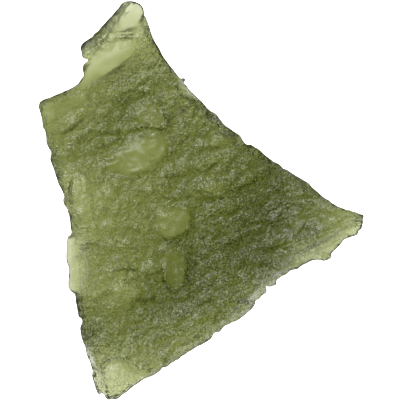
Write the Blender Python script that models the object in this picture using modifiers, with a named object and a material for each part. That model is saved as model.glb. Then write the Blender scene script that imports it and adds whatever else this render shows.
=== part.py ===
"""A moldavite: one natural piece of etched, bottle-green glass.

It is a flat, three-cornered splash of glass that lies on its back.  +Y runs from the
lower point to the upper tip (the longest way), +X runs towards the right-hand point,
and +Z is up through the thickness.  The origin is at the centre of the footprint, at
the height of the small worn flat spots that the stone rests on.
"""

import math

import bmesh
import bpy
import numpy as np
from mathutils import Matrix, Vector, noise

# ---------------------------------------------------------------- driving dimensions
NAME = "moldavite"
UNIT = 0.0001           # the outline below is in tenths of a millimetre
LENGTH = 0.0398         # upper tip to lower point, along Y
WIDTH = 0.03235         # left corner to right point, along X
MIDDLE = (201.05, 200.2)  # the centre of the outline's box, in outline units
SLAB = 0.0060           # the blank's thickness before it is sculpted
VOXEL = 0.00048         # mesh size of the blank
EVEN = 0.00036          # mesh size that the carved body is evened out to
FACES = 6800            # triangles kept on the sculpted body
RIM_TOP = 6.0           # how wide the upper edge is rounded, in outline units
RIM_BACK = 14.0         # the same on the back
WAIST = 9.0             # how far the sides draw in above and below their widest line
FLOW = math.radians(30)  # the flow lines climb this much to the right
CENTROID = (165.0, 205.0)  # the middle of the back, in outline units
BOWL = 0.000036         # how fast the back rises from its middle, mm per unit squared
SUNK = 0.17             # how much of the back's middle is worn flat, in mm
BLEND = 17.0            # how far each thickness below reaches, in outline units
GREEN = (0.145, 0.175, 0.055, 1.0)

# The outline, clockwise from the upper tip, in tenths of a millimetre to the right and
# down from the corner of the 40 mm square the stone lies in.
RIGHT_SIDE = [
    (128, 1.2), (134, 1.4), (140, 4), (143.5, 9), (144.5, 16), (147, 20.5), (150, 29),
    (154, 40), (160, 50.5), (168, 63.5), (176.5, 74.5), (181.5, 79), (185.5, 80.5),
    (184, 83), (191, 91.5), (200, 100.3), (209, 110.5), (215.5, 114), (222.5, 123.5),
    (231, 130), (239.5, 135.7), (243.7, 142.7), (248, 145.2), (254.5, 147.5),
    (264, 155), (272.5, 162), (280, 166), (283.5, 169.3), (293.5, 175), (305, 181.8),
    (311.5, 188), (322, 197), (331, 203.3), (343.5, 208.8), (354.5, 211.8),
    (362.8, 215.5),
]
LOWER_SIDE = [
    (361.8, 222), (360, 229), (355, 235), (345, 238.5), (337.5, 246.5), (330.5, 254),
    (328.5, 258.7), (321, 260), (311.5, 260), (300, 265.8), (288, 271), (280, 276.5),
    (276, 284), (265.5, 286.5), (265.5, 292.5), (255, 300), (249.5, 310), (238.5, 318.8),
    (226, 323.8), (219, 331), (213, 333), (205, 341.5), (190.5, 350), (178.5, 358.5),
    (165, 366), (155.5, 373.3), (142.5, 379.3), (130, 388.5), (119, 397.3), (108, 399),
    (102, 393),
]
LEFT_SIDE = [
    (97, 391.5), (92.8, 378), (91.3, 366), (86.2, 349), (81.2, 330), (83, 321),
    (79.5, 316.3), (76.4, 298), (73.3, 292.6), (68.6, 286), (69.2, 272), (66.2, 258),
    (66.8, 240), (71.8, 233.5), (71, 221), (66.8, 207), (63.6, 199), (62, 189),
    (57, 177), (51.3, 159), (48.3, 145), (46, 130), (43, 119), (39.3, 107), (41, 102),
]
UPPER_SIDE = [
    (51, 98), (66.5, 91.3), (77, 85.7), (84, 76.5), (83.3, 68), (87, 62.5),
    (88, 59.3), (82.3, 56), (81.2, 48), (86.7, 41.3), (95, 33.8), (105, 24),
    (114.3, 13.5), (120.5, 6),
]

# How thick the glass is, in millimetres, at places of the outline's grid.
THICKNESS = [
    (131, 8, 2.6), (112, 22, 3.2), (92, 44, 3.6), (148, 30, 3.4), (155, 60, 4.3),
    (125, 80, 5.0), (100, 92, 4.7), (48, 106, 3.3), (70, 115, 4.6), (60, 150, 4.7),
    (95, 150, 5.0), (68, 190, 4.1), (88, 215, 4.1), (72, 245, 3.0), (72, 275, 3.0),
    (95, 265, 4.3), (90, 305, 4.8), (95, 335, 5.3), (98, 375, 3.4), (118, 385, 3.2),
    (140, 366, 3.5), (145, 115, 5.5), (190, 130, 5.7), (215, 128, 5.6), (145, 150, 5.0),
    (180, 180, 5.4), (145, 195, 4.8), (175, 220, 4.9), (118, 200, 4.8), (120, 250, 4.9),
    (240, 190, 6.4), (270, 200, 6.6), (290, 222, 6.1), (250, 240, 6.6), (220, 240, 6.4),
    (315, 215, 4.8), (338, 220, 3.6), (358, 220, 3.0), (298, 190, 6.0), (322, 250, 3.6),
    (300, 256, 4.2), (270, 262, 5.8), (258, 288, 4.7), (190, 270, 6.4), (178, 292, 6.4),
    (150, 296, 6.0), (148, 258, 5.4), (115, 290, 4.6), (203, 302, 6.0), (232, 292, 5.7),
    (212, 320, 4.9), (172, 347, 4.4), (148, 343, 4.8), (126, 334, 5.4), (203, 333, 4.4),
]

# Smooth bites out of the top: name, centre, half length, half width, turn in degrees
# anticlockwise, how far the bite's floor is above the back, and the bite's own height.
BITES = [
    ("lens_bite", (101, 63), 44, 19, 24, 2.0, 4.4),
    ("tip_bite", (131, 12), 24, 14, 80, 1.4, 3.0),
    ("scallop", (141, 151), 36, 18, 24, 4.1, 3.4),
    ("oval_hollow", (145, 114), 20, 13, 20, 5.0, 2.6),
    ("finger_hollow", (176, 270), 26, 10, 72, 5.9, 2.0),
    ("lobe_hollow", (170, 224), 26, 17, 35, 4.5, 2.4),
    ("point_bite", (116, 386), 28, 21, 70, 2.0, 3.6),
    ("left_ledge", (60, 265), 36, 14, 90, 1.4, 4.4),
    ("edge_chip", (186, 86), 13, 8, -45, 2.4, 3.4),
    ("fracture", (250, 309), 19, 10, 50, 1.9, 4.2),
]


def outline():
    return RIGHT_SIDE + LOWER_SIDE + LEFT_SIDE + UPPER_SIDE


def place(u, v):
    """Outline units to metres."""
    return (u - MIDDLE[0]) * UNIT, (MIDDLE[1] - v) * UNIT


def clear_scene():
    for obj in list(bpy.data.objects):
        bpy.data.objects.remove(obj, do_unlink=True)


def collection(name):
    found = bpy.data.collections.new(name)
    bpy.context.scene.collection.children.link(found)
    return found


def mesh_of(obj, name):
    """The object's evaluated shape as a mesh of its own, its caps welded on."""
    graph = bpy.context.evaluated_depsgraph_get()
    mesh = bpy.data.meshes.new_from_object(obj.evaluated_get(graph))
    mesh.name = name
    work = bmesh.new()
    work.from_mesh(mesh)
    bmesh.ops.remove_doubles(work, verts=work.verts, dist=1e-7)
    bmesh.ops.recalc_face_normals(work, faces=work.faces)
    work.to_mesh(mesh)
    work.free()
    return mesh


def blank(home):
    """The outline cut from a flat slab, then divided evenly."""
    curve = bpy.data.curves.new(NAME + "_outline", "CURVE")
    curve.dimensions = "2D"
    curve.fill_mode = "BOTH"
    curve.extrude = SLAB / 2
    points = outline()
    line = curve.splines.new("POLY")
    line.points.add(len(points) - 1)
    for point, (u, v) in zip(line.points, points):
        point.co = (*place(u, v), 0, 1)
    line.use_cyclic_u = True
    flat = bpy.data.objects.new(NAME + "_outline", curve)
    home.objects.link(flat)
    bpy.context.view_layer.update()
    slab = bpy.data.objects.new(NAME + "_slab", mesh_of(flat, NAME + "_slab"))
    slab.matrix_world = flat.matrix_world.copy()
    bpy.data.objects.remove(flat)
    home.objects.link(slab)
    grain = slab.modifiers.new("Grain", "REMESH")
    grain.mode = "VOXEL"
    grain.voxel_size = VOXEL
    bpy.context.view_layer.update()
    body = bpy.data.objects.new(NAME, mesh_of(slab, NAME))
    home.objects.link(body)
    bpy.data.objects.remove(slab)
    return body


def distances(points):
    """Each point's distance to the outline, in outline units, and the way inwards."""
    ring = np.array(outline(), float)
    out = np.full(len(points), np.inf)
    inward = np.zeros_like(points)
    for a, d in zip(ring, np.roll(ring, -1, axis=0) - ring):
        along = np.clip(((points - a) @ d) / (d @ d), 0, 1)
        gap = np.linalg.norm(points - a - along[:, None] * d, axis=1)
        nearer = gap < out
        out[nearer] = gap[nearer]
        inward[nearer] = np.array([-d[1], d[0]]) / math.hypot(*d)
    return out, inward


def thickness(points):
    near = np.array(THICKNESS)
    gap = ((points[:, None, :] - near[None, :, :2]) ** 2).sum(axis=2)
    weight = np.exp(-gap / (2 * BLEND**2)) + 1e-9 / (1 + gap)
    return (weight * near[:, 2]).sum(axis=1) / weight.sum(axis=1)


def folds(u, v, seed, length, width):
    """Noise drawn out along the flow lines, about -1 to 1."""
    along = (u * math.cos(FLOW) - v * math.sin(FLOW)) / length
    across = (u * math.sin(FLOW) + v * math.cos(FLOW)) / width
    return noise.noise(Vector((along, across, seed))) + 0.5 * noise.noise(
        Vector((2 * along, 2 * across, seed + 7.3))
    )


def rounding(distance, width, depth):
    """How far an edge of this width has dropped, this far in from the outline."""
    gone = np.clip(1 - distance / width, 0, 1)
    return depth * (1 - np.sqrt(1 - gone**2 * 0.98))


def sculpt(body):
    """Turns the blank into the stone: its back, its varying thickness and its folds."""
    mesh = body.data
    co = np.empty(len(mesh.vertices) * 3)
    mesh.vertices.foreach_get("co", co)
    co = co.reshape(-1, 3)
    spot = np.column_stack(
        [co[:, 0] / UNIT + MIDDLE[0], MIDDLE[1] - co[:, 1] / UNIT]
    )
    level = np.clip(co[:, 2] / SLAB + 0.5, 0, 1)
    edge, inward = distances(spot)
    away = ((spot - CENTROID) ** 2).sum(axis=1)
    thick = thickness(spot)
    soft = np.clip(edge / 12, 0, 1)
    top_fold = np.array([folds(u, v, 1.7, 34, 13) for u, v in spot]) * soft
    back_fold = np.array([folds(u, v, 5.1, 40, 17) for u, v in spot]) * soft
    back = BOWL * away + 0.20 * back_fold - SUNK + rounding(edge, RIM_BACK, 1.1)
    top = BOWL * away - SUNK + thick + 0.24 * top_fold - rounding(edge, RIM_TOP, 0.6)
    widest = np.array([0.62 + 0.25 * folds(u, v, 9.4, 30, 30) for u, v in spot])
    drawn = WAIST * (level - widest) ** 2 * np.clip(1 - edge / 22, 0, 1)
    spot = spot + inward * drawn[:, None]
    co[:, 0] = (spot[:, 0] - MIDDLE[0]) * UNIT
    co[:, 1] = (MIDDLE[1] - spot[:, 1]) * UNIT
    co[:, 2] = (back + level * (top - back)) / 1000
    mesh.vertices.foreach_set("co", co.reshape(-1))
    mesh.update()


def bite(home, name, centre, long, wide, turn, floor, height):
    """One smooth bite: an egg shape whose lowest point is where the bite's floor is."""
    work = bmesh.new()
    bmesh.ops.create_uvsphere(work, u_segments=28, v_segments=16, radius=1)
    mesh = bpy.data.meshes.new(name)
    work.to_mesh(mesh)
    work.free()
    back = BOWL * sum((c - m) ** 2 for c, m in zip(centre, CENTROID)) - SUNK
    x, y = place(*centre)
    mesh.transform(
        Matrix.Translation((x, y, (back + floor + height) / 1000))
        @ Matrix.Rotation(math.radians(turn), 4, "Z")
        @ Matrix.Diagonal((long * UNIT, wide * UNIT, height / 1000, 1))
    )
    cutter = bpy.data.objects.new(name, mesh)
    cutter.hide_render = True
    cutter.display_type = "WIRE"
    home.objects.link(cutter)
    return cutter


def ground(home):
    """The block under the stone that wears its lowest spots flat at height 0."""
    work = bmesh.new()
    bmesh.ops.create_cube(work, size=1)
    mesh = bpy.data.meshes.new("ground_block")
    work.to_mesh(mesh)
    work.free()
    mesh.transform(
        Matrix.Translation((0, 0, -0.005)) @ Matrix.Diagonal((0.08, 0.08, 0.01, 1))
    )
    block = bpy.data.objects.new("ground_block", mesh)
    block.hide_render = True
    block.display_type = "WIRE"
    home.objects.link(block)
    return block


def cut(body, cutter):
    step = body.modifiers.new(cutter.name, "BOOLEAN")
    step.operation = "DIFFERENCE"
    step.solver = "EXACT"
    step.object = cutter


def glass():
    made = bpy.data.materials.new("moldavite_glass")
    made.use_nodes = True
    shader = made.node_tree.nodes["Principled BSDF"]
    shader.inputs["Base Color"].default_value = GREEN
    shader.inputs["Roughness"].default_value = 0.22
    shader.inputs["Metallic"].default_value = 0.0
    shader.inputs["IOR"].default_value = 1.49
    made.diffuse_color = GREEN
    return made


def fit_to_size(mesh):
    """Brings the finished body to its stated length and width, centred on the origin."""
    co = np.empty(len(mesh.vertices) * 3)
    mesh.vertices.foreach_get("co", co)
    co = co.reshape(-1, 3)
    low, high = co.min(axis=0), co.max(axis=0)
    co[:, 0] = (co[:, 0] - (low[0] + high[0]) / 2) * WIDTH / (high[0] - low[0])
    co[:, 1] = (co[:, 1] - (low[1] + high[1]) / 2) * LENGTH / (high[1] - low[1])
    mesh.vertices.foreach_set("co", co.reshape(-1))
    mesh.update()


def main():
    clear_scene()
    stone = collection(NAME)
    cutters = collection(NAME + "_cutters")
    body = blank(stone)
    sculpt(body)
    for item in BITES:
        cut(body, bite(cutters, *item))
    even = body.modifiers.new("Even out", "REMESH")
    even.mode = "VOXEL"
    even.voxel_size = EVEN
    bpy.context.view_layer.update()
    carved = mesh_of(body, NAME)
    body.modifiers.clear()
    body.data = carved
    carved.calc_loop_triangles()
    thin = body.modifiers.new("Thin out", "DECIMATE")
    thin.ratio = min(1.0, FACES / len(carved.loop_triangles))
    thin.use_collapse_triangulate = True
    bpy.context.view_layer.update()
    body.data = mesh_of(body, NAME)
    body.modifiers.clear()
    fit_to_size(body.data)
    cut(body, ground(cutters))
    body.data.materials.clear()
    body.data.materials.append(glass())
    body.data.shade_smooth()
    body.data.set_sharp_from_angle(angle=math.radians(35))


main()
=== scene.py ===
import math

import bpy
import mathutils
import numpy as np
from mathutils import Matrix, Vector
from mathutils.geometry import delaunay_2d_cdt

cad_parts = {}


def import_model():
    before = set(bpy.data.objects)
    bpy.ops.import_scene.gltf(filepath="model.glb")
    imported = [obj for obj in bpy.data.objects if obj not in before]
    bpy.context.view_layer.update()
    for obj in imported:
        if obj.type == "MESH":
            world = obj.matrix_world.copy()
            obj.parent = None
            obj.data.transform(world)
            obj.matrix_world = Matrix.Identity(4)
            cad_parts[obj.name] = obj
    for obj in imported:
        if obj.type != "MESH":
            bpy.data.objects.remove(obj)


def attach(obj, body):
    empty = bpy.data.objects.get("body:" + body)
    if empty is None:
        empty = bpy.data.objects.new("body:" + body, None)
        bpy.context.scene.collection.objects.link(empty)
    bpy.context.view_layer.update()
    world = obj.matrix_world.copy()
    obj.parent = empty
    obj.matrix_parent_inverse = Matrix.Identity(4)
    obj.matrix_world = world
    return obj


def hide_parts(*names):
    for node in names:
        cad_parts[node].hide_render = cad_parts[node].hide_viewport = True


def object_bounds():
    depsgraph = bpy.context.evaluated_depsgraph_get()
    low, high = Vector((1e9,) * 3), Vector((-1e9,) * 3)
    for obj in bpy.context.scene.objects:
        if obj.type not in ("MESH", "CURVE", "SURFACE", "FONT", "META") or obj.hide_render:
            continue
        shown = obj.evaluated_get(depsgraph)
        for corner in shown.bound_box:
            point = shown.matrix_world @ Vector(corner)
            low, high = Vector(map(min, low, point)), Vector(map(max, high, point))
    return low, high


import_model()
CAD_LOW, CAD_HIGH = [Vector(p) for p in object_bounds()]

# ------------------------------------------------------------------ the stone's grid
# Places on the stone are in tenths of a millimetre to the right and down from the
# corner of the 40 mm square it lies in. Heights are in millimetres.
UNIT = 0.0001
MIDDLE = (201.05, 200.2)
CENTROID = (165.0, 205.0)
BOWL = 0.000036
FLOW = math.radians(30)
FINE = 1.03       # spacing of the top's points
COARSE = 2.6     # spacing of the back's points

# The outline, clockwise from the upper tip.
RIGHT_EDGE = [
    (128, 1.2), (131, 1), (134, 1.4), (137, 2.5), (140, 4), (142, 6), (143.5, 9), (144, 12.5),
    (144.5, 16), (146, 17.5), (147, 20.5), (148.5, 24.5), (150, 29), (151, 33), (152.5, 36.5),
    (154, 40), (156, 44), (158, 47), (160, 50.5), (161.5, 54), (163.5, 57.5), (166, 61),
    (168, 63.5), (170, 66.5), (172.5, 69), (174.5, 72), (176.5, 74.5), (178.5, 77), (180, 78.7),
    (181.5, 79.2), (183, 78.3), (185, 79), (185.5, 80.5), (184, 81.7), (183.5, 83), (185.5, 84.8),
    (187.5, 87), (189, 89.8), (191, 91.5), (193, 93.5), (195.5, 96), (198, 98.5), (200, 100.3),
    (202, 102.5), (204, 105), (206.5, 108), (209, 110.5), (211, 112), (213.5, 113), (215.5, 114),
    (217.5, 116.5), (219.5, 119.5), (221.5, 121.5), (222.5, 123.5), (224, 125), (226.5, 127),
    (229, 128.5), (231, 130), (233, 131.5), (235, 133), (237, 134), (239.5, 135.7), (241, 138),
    (242.3, 140.5), (243.7, 142.7), (245.5, 144.5), (247.5, 145.3), (250, 144.6), (252, 146),
    (254.5, 147.5), (257, 149), (259.5, 150.5), (261.5, 152.7), (264, 155), (266.5, 157),
    (269, 159), (271, 160.5), (272.5, 162), (275.5, 163), (278, 164.5), (280, 166), (281.5, 168.5),
    (283.5, 169.3), (286, 169.9), (288, 171.5), (290.5, 173), (293.5, 175), (296.5, 177),
    (299.5, 178.5), (302, 180), (305, 181.8), (308, 183.5), (309.5, 186), (311.5, 188), (314, 190),
    (317, 192.5), (319, 194.5), (322, 197), (325, 199), (328, 200.3), (329.5, 202), (331, 203.3),
    (333.5, 204.2), (335.5, 206), (338, 206.8), (340.5, 207.8), (343.5, 208.8), (345, 210),
    (348, 210), (350.5, 210.4), (352.5, 212), (354.5, 211.8), (357, 213), (359.5, 214.2),
    (361.5, 214.2), (362.8, 215.5),
]
LOWER_EDGE = [
    (362, 218), (361.8, 220), (362.2, 222), (361.5, 224), (361.3, 226.5), (360.5, 229),
    (358.5, 229.7), (357.5, 232), (356.5, 234.5), (354, 235.5), (351, 236.3), (348, 237.3),
    (345, 238.5), (342.5, 240), (341, 242.5), (339.5, 244.5), (337.5, 246.5), (335.5, 248.5),
    (333, 250.3), (331, 252.5), (330.2, 255), (330.5, 257), (328.5, 258.7), (326, 259.8),
    (323.5, 260.5), (321, 260), (318, 259.3), (314.5, 259.5), (311.5, 260), (308.5, 261.3),
    (306, 262.8), (303, 264), (300, 265.8), (298, 267.8), (295, 268.8), (291.5, 269.3),
    (289, 270.3), (287, 272.3), (285, 274), (282.5, 275), (280.5, 275.5), (280, 277), (277, 278.5),
    (275.7, 280), (276, 282), (276, 284.5), (273, 285), (271.5, 285.7), (270, 286.3), (268, 285.8),
    (266, 285.3), (265, 287), (266.3, 289), (266.5, 290.7), (265.5, 292.5), (263.5, 294),
    (261, 295.5), (260, 297.5), (258, 299), (256, 299.6), (254.8, 301), (254.8, 303), (253.5, 305.5),
    (251.8, 308), (249.5, 310), (247, 312), (245, 314), (243, 315.7), (241, 317), (238.5, 318.8),
    (236.5, 320), (233.5, 321), (230.5, 322), (228.5, 323.5), (226, 323.8), (224, 325.5),
    (222.5, 327), (221, 329), (219.5, 331), (218, 330.8), (216, 331), (214, 332), (213, 333),
    (212.4, 335), (211.2, 337), (209.7, 338.6), (207.7, 340), (205, 341.5), (202.5, 343),
    (200.5, 344), (198, 345), (195, 346.8), (192.5, 348.5), (190.5, 350), (188, 350.8),
    (186, 352.5), (184, 354), (181.5, 355), (180, 357), (178.5, 358.5), (176, 359), (174.5, 360.5),
    (171.5, 361.7), (169.5, 363.5), (168, 365), (165.5, 366), (163, 366), (161.5, 368), (160, 370),
    (158, 371.5), (155.5, 373.3), (153, 374.8), (150, 376), (147.5, 377), (145, 377.7),
    (142.5, 379.3), (139, 382), (136.5, 383.7), (133, 386), (130, 388.5), (127.5, 391), (124, 393),
    (121.5, 395), (119, 397.3), (116.5, 398.7), (114, 398.5), (111.8, 398), (110.5, 399), (108, 399),
    (106.8, 397.5), (105, 396.3), (104.5, 394.5), (103, 393), (101.5, 392.8), (100, 394),
    (98.5, 393.8),
]
LEFT_EDGE = [
    (97.3, 392), (96.3, 389.5), (95.5, 387), (94.5, 384), (93.3, 381), (92.8, 378), (92.3, 375),
    (92.8, 372), (92.5, 369), (91.3, 366), (90.3, 363), (89.2, 360), (88.2, 357), (87.1, 354),
    (86.2, 351), (86.2, 347.5), (85.3, 344.5), (84, 341.5), (82.8, 338), (82, 334), (81.2, 330),
    (81, 326.5), (82, 324), (83, 322.3), (83.3, 320), (82.8, 318.5), (81.5, 316.9), (79.5, 316.3),
    (79, 313), (78.3, 309), (77.8, 305), (77, 302), (76.4, 298), (75.8, 295), (75, 293.5),
    (73.3, 292.6), (71.5, 291.5), (70, 290), (68.6, 287), (68.2, 284), (68.5, 280), (69, 276),
    (69.2, 272), (69, 268), (68, 265), (66.8, 262), (66.2, 258), (66.3, 252), (66.6, 246), (67, 240),
    (67.8, 236.5), (71.8, 234), (72.3, 231), (71.5, 228.5), (71.1, 225), (70.8, 221), (70.3, 217.5),
    (69.8, 215), (68.5, 212), (68, 209), (66.8, 207), (65, 205), (64, 202), (63.6, 199), (65, 197),
    (64.3, 195), (63.5, 192), (62, 189), (60.5, 186), (59, 183.5), (58, 180.5), (57.3, 177.5),
    (56.3, 175), (55.5, 171.5), (54.3, 168), (53, 164.5), (51.7, 161), (51.2, 158.5), (51.9, 156),
    (52.5, 153.5), (51.5, 151), (50, 148.5), (48.3, 145), (47.3, 141.5), (47.2, 137), (46.6, 133.5),
    (46, 130), (44, 127.7), (43.5, 125.5), (43.3, 122), (43, 119), (42, 115.5), (41, 112),
    (40.3, 109.5), (39.3, 107), (40, 104.5), (41, 102),
]
UPPER_EDGE = [
    (44, 100.3), (47, 99), (51, 98), (55.5, 96), (59.5, 94.5), (63, 93), (66.5, 91.3), (70, 89.8),
    (73, 88), (76.5, 86), (79.3, 83.7), (80.3, 81.5), (82, 79), (83.8, 76.8), (84.5, 74.5),
    (83.6, 72), (83.3, 69), (83.5, 66), (84.7, 63.6), (87, 62.5), (88.2, 61), (88.3, 59.3),
    (85.5, 58.8), (83.2, 57.7), (82.3, 55.5), (82.3, 52.5), (81.4, 50), (81.1, 48), (82, 45.5),
    (84, 43), (86.7, 41.3), (90, 39), (93, 36.8), (95, 33.8), (98, 32), (100, 29.5), (102, 27),
    (105, 24), (108, 20.5), (110, 18.2), (112.5, 16), (114.3, 13.5), (117, 10.7), (119, 8.6),
    (120.5, 6), (122.3, 3.7), (125, 2),
]
OUTLINE = RIGHT_EDGE + LOWER_EDGE + LEFT_EDGE + UPPER_EDGE

# How thick the glass is, in millimetres, at places on the grid, before the bites.
THICKNESS = [
    (131, 8, 2.1), (112, 22, 2.5), (104, 32, 3.0), (90, 46, 3.1), (128, 36, 2.9), (148, 30, 3.1), (84, 66, 2.3), (78, 84, 3.0), (155, 60, 4.4),
    (125, 80, 5.3), (100, 92, 4.4), (110, 112, 4.3), (112, 152, 4.8), (48, 112, 2.7), (64, 108, 4.7), (70, 115, 5.1), (60, 150, 4.4),
    (95, 150, 5.0), (68, 190, 3.3), (88, 215, 4.0), (82, 245, 3.8), (82, 275, 4.0),
    (95, 265, 4.0), (90, 305, 4.2), (110, 311, 4.2), (95, 335, 4.9), (92, 362, 3.9), (98, 378, 2.5), (118, 385, 2.9),
    (140, 366, 2.6), (145, 112, 5.5), (118, 132, 6.1), (190, 130, 5.4), (172, 98, 4.5), (215, 128, 5.1),
    (145, 150, 4.85), (180, 180, 5.35), (145, 195, 4.7), (175, 220, 5.2), (118, 200, 4.4),
    (120, 250, 4.6), (240, 190, 6.0), (234, 170, 5.2), (215, 208, 5.5), (270, 200, 7.0), (290, 222, 6.7), (250, 240, 6.8),
    (220, 240, 6.2), (315, 215, 5.1), (310, 232, 6.5), (338, 220, 3.4), (346, 230, 3.4), (358, 220, 3.0), (298, 190, 6.0),
    (322, 250, 4.1), (332, 246, 3.5), (300, 256, 4.7), (270, 262, 7.0), (252, 268, 6.8), (258, 288, 4.7), (190, 270, 6.4),
    (178, 292, 6.5), (150, 296, 6.0), (148, 258, 5.2), (130, 268, 4.8), (115, 290, 4.2), (131, 290, 3.9), (203, 302, 6.2),
    (232, 292, 5.7), (212, 320, 4.75), (172, 349, 4.3), (148, 345, 4.5), (150, 330, 5.8), (126, 334, 6.0), (112, 353, 2.8),
    (203, 335, 4.3), (283, 297, 3.2), (262, 317, 3.4), (60, 222, 3.3),
]
BLEND = 17.0
# How coarse its finest grain is, at places on the grid.
TALLEST = 7.85
GRAIN_HEIGHT = 0.15
GRAIN = [
    (130, 30, 0.6), (95, 43, 0.5), (108, 28, 0.5), (99, 384, 2.2), (155, 60, 1.1), (120, 85, 1.2), (55, 110, 0.7), (90, 115, 0.9), (65, 150, 0.9),
    (85, 185, 0.7), (85, 215, 0.7), (110, 160, 0.7), (120, 200, 0.75), (120, 230, 0.8),
    (85, 265, 0.8), (110, 260, 0.8), (90, 300, 0.8), (140, 90, 1.0), (175, 110, 1.0),
    (215, 130, 0.9), (170, 150, 0.8), (150, 195, 0.8), (190, 195, 0.9), (230, 160, 1.1),
    (270, 180, 1.2), (250, 210, 1.4), (285, 215, 1.0), (320, 215, 0.8), (350, 222, 0.7),
    (215, 225, 1.3), (240, 250, 1.3), (210, 270, 1.2), (170, 250, 0.9), (150, 270, 0.8),
    (130, 310, 0.9), (170, 300, 1.1), (200, 300, 1.2), (240, 285, 1.2), (160, 335, 0.9),
    (120, 340, 0.9), (90, 335, 1.3), (200, 330, 1.0), (290, 255, 0.8), (320, 252, 0.7), (262, 290, 1.9), (89, 356, 2.2),
]
# How strongly the skin is etched, from 0 to 1, at places on the grid.
ETCHING = [
    (43, 106, 0.15), (49, 116, 0.3), (80, 99, 0.35),
    (130, 30, 0.6), (155, 60, 0.9), (120, 85, 1.0), (55, 110, 0.6), (90, 115, 0.9), (65, 150, 0.8),
    (85, 185, 0.7), (85, 215, 0.7), (110, 160, 0.75), (120, 200, 0.75), (120, 230, 0.75),
    (85, 265, 0.75), (110, 260, 0.75), (90, 300, 0.8), (140, 90, 0.9), (175, 110, 0.9),
    (215, 130, 0.9), (170, 150, 0.8), (150, 195, 0.75), (190, 195, 0.8), (230, 160, 0.9),
    (270, 180, 0.9), (250, 210, 1.0), (285, 215, 0.8), (320, 215, 0.7), (350, 222, 0.7),
    (215, 225, 1.0), (240, 250, 1.0), (210, 270, 1.0), (170, 250, 0.8), (150, 270, 0.8),
    (130, 310, 0.85), (170, 300, 0.95), (200, 300, 1.0), (240, 285, 1.0), (160, 335, 0.8),
    (120, 340, 0.8), (90, 335, 1.0), (200, 330, 0.9), (290, 255, 0.7), (320, 252, 0.6),
]


# ------------------------------------------------------------------ noise
def _cells(ix, iy, seed):
    """A repeatable random number from 0 to 1 for each cell."""
    h = (ix.astype(np.int64) * 374761393 + iy.astype(np.int64) * 668265263 + seed * 974634777) & 0xFFFFFFFF
    h = ((h ^ (h >> 13)) * 1274126177) & 0xFFFFFFFF
    h = ((h ^ (h >> 15)) * 2246822519) & 0xFFFFFFFF
    return ((h ^ (h >> 16)) & 0xFFFFFF) / float(0x1000000)


def smooth(x):
    x = np.clip(x, 0.0, 1.0)
    return x * x * (3 - 2 * x)


def noise2(x, y, seed=0):
    """Gradient noise, about -1 to 1."""
    ix, iy = np.floor(x), np.floor(y)
    fx, fy = x - ix, y - iy
    ix, iy = ix.astype(np.int64), iy.astype(np.int64)
    out = 0.0
    for dx in (0, 1):
        for dy in (0, 1):
            a = _cells(ix + dx, iy + dy, seed) * 2 * math.pi
            g = np.cos(a) * (fx - dx) + np.sin(a) * (fy - dy)
            wx = fx * fx * fx * (fx * (fx * 6 - 15) + 10)
            wy = fy * fy * fy * (fy * (fy * 6 - 15) + 10)
            out = out + g * (wx if dx else 1 - wx) * (wy if dy else 1 - wy)
    return out * 1.5


def fbm(x, y, seed=0, octaves=4, gain=0.5):
    out, amp = 0.0, 1.0
    for k in range(octaves):
        out = out + amp * noise2(x * 2**k + 17.3 * k, y * 2**k - 9.1 * k, seed + k)
        amp *= gain
    return out


def worley(x, y, seed=0, jitter=0.9):
    """(distance to the nearest point, to the second nearest, the nearest's own number)."""
    ix, iy = np.floor(x).astype(np.int64), np.floor(y).astype(np.int64)
    f1 = np.full(x.shape, 9.0)
    f2 = np.full(x.shape, 9.0)
    own = np.zeros(x.shape)
    for dx in (-1, 0, 1):
        for dy in (-1, 0, 1):
            cx, cy = ix + dx, iy + dy
            px = cx + 0.5 + jitter * (_cells(cx, cy, seed) - 0.5)
            py = cy + 0.5 + jitter * (_cells(cx, cy, seed + 57) - 0.5)
            d = np.hypot(px - x, py - y)
            first = d < f1
            f2 = np.where(first, f1, np.minimum(f2, d))
            own = np.where(first, _cells(cx, cy, seed + 91), own)
            f1 = np.where(first, d, f1)
    return f1, f2, own


# ------------------------------------------------------------------ shapes on the grid
def turned(u, v, cu, cv, degrees):
    """(along, across) from a centre, along a direction that climbs to the right."""
    a = math.radians(degrees)
    du, dv = u - cu, v - cv
    return du * math.cos(a) - dv * math.sin(a), du * math.sin(a) + dv * math.cos(a)


def inside(u, v, ring):
    """Distance to a closed ring, positive inside it."""
    ring = np.array(ring, float)
    gap = np.full(u.shape, 1e9)
    within = np.zeros(u.shape, bool)
    for (ax, ay), (bx, by) in zip(ring, np.roll(ring, -1, axis=0)):
        dx, dy = bx - ax, by - ay
        t = np.clip(((u - ax) * dx + (v - ay) * dy) / (dx * dx + dy * dy), 0, 1)
        gap = np.minimum(gap, np.hypot(u - ax - t * dx, v - ay - t * dy))
        crosses = (ay > v) != (by > v)
        if dy:
            within ^= crosses & (u < ax + (v - ay) * dx / dy)
    return np.where(within, gap, -gap)


def along_line(u, v, line):
    """(distance to an open line, how far along it from 0 to 1, which side)."""
    line = np.array(line, float)
    steps = np.hypot(*np.diff(line, axis=0).T)
    total, gone = steps.sum(), 0.0
    gap = np.full(u.shape, 1e9)
    part = np.zeros(u.shape)
    side = np.zeros(u.shape)
    for (ax, ay), (bx, by), step in zip(line[:-1], line[1:], steps):
        dx, dy = bx - ax, by - ay
        t = np.clip(((u - ax) * dx + (v - ay) * dy) / (step * step), 0, 1)
        d = np.hypot(u - ax - t * dx, v - ay - t * dy)
        near = d < gap
        gap = np.where(near, d, gap)
        part = np.where(near, (gone + t * step) / total, part)
        side = np.where(near, np.sign(dx * (v - ay) - dy * (u - ax)), side)
        gone += step
    return gap, part, side


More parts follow.
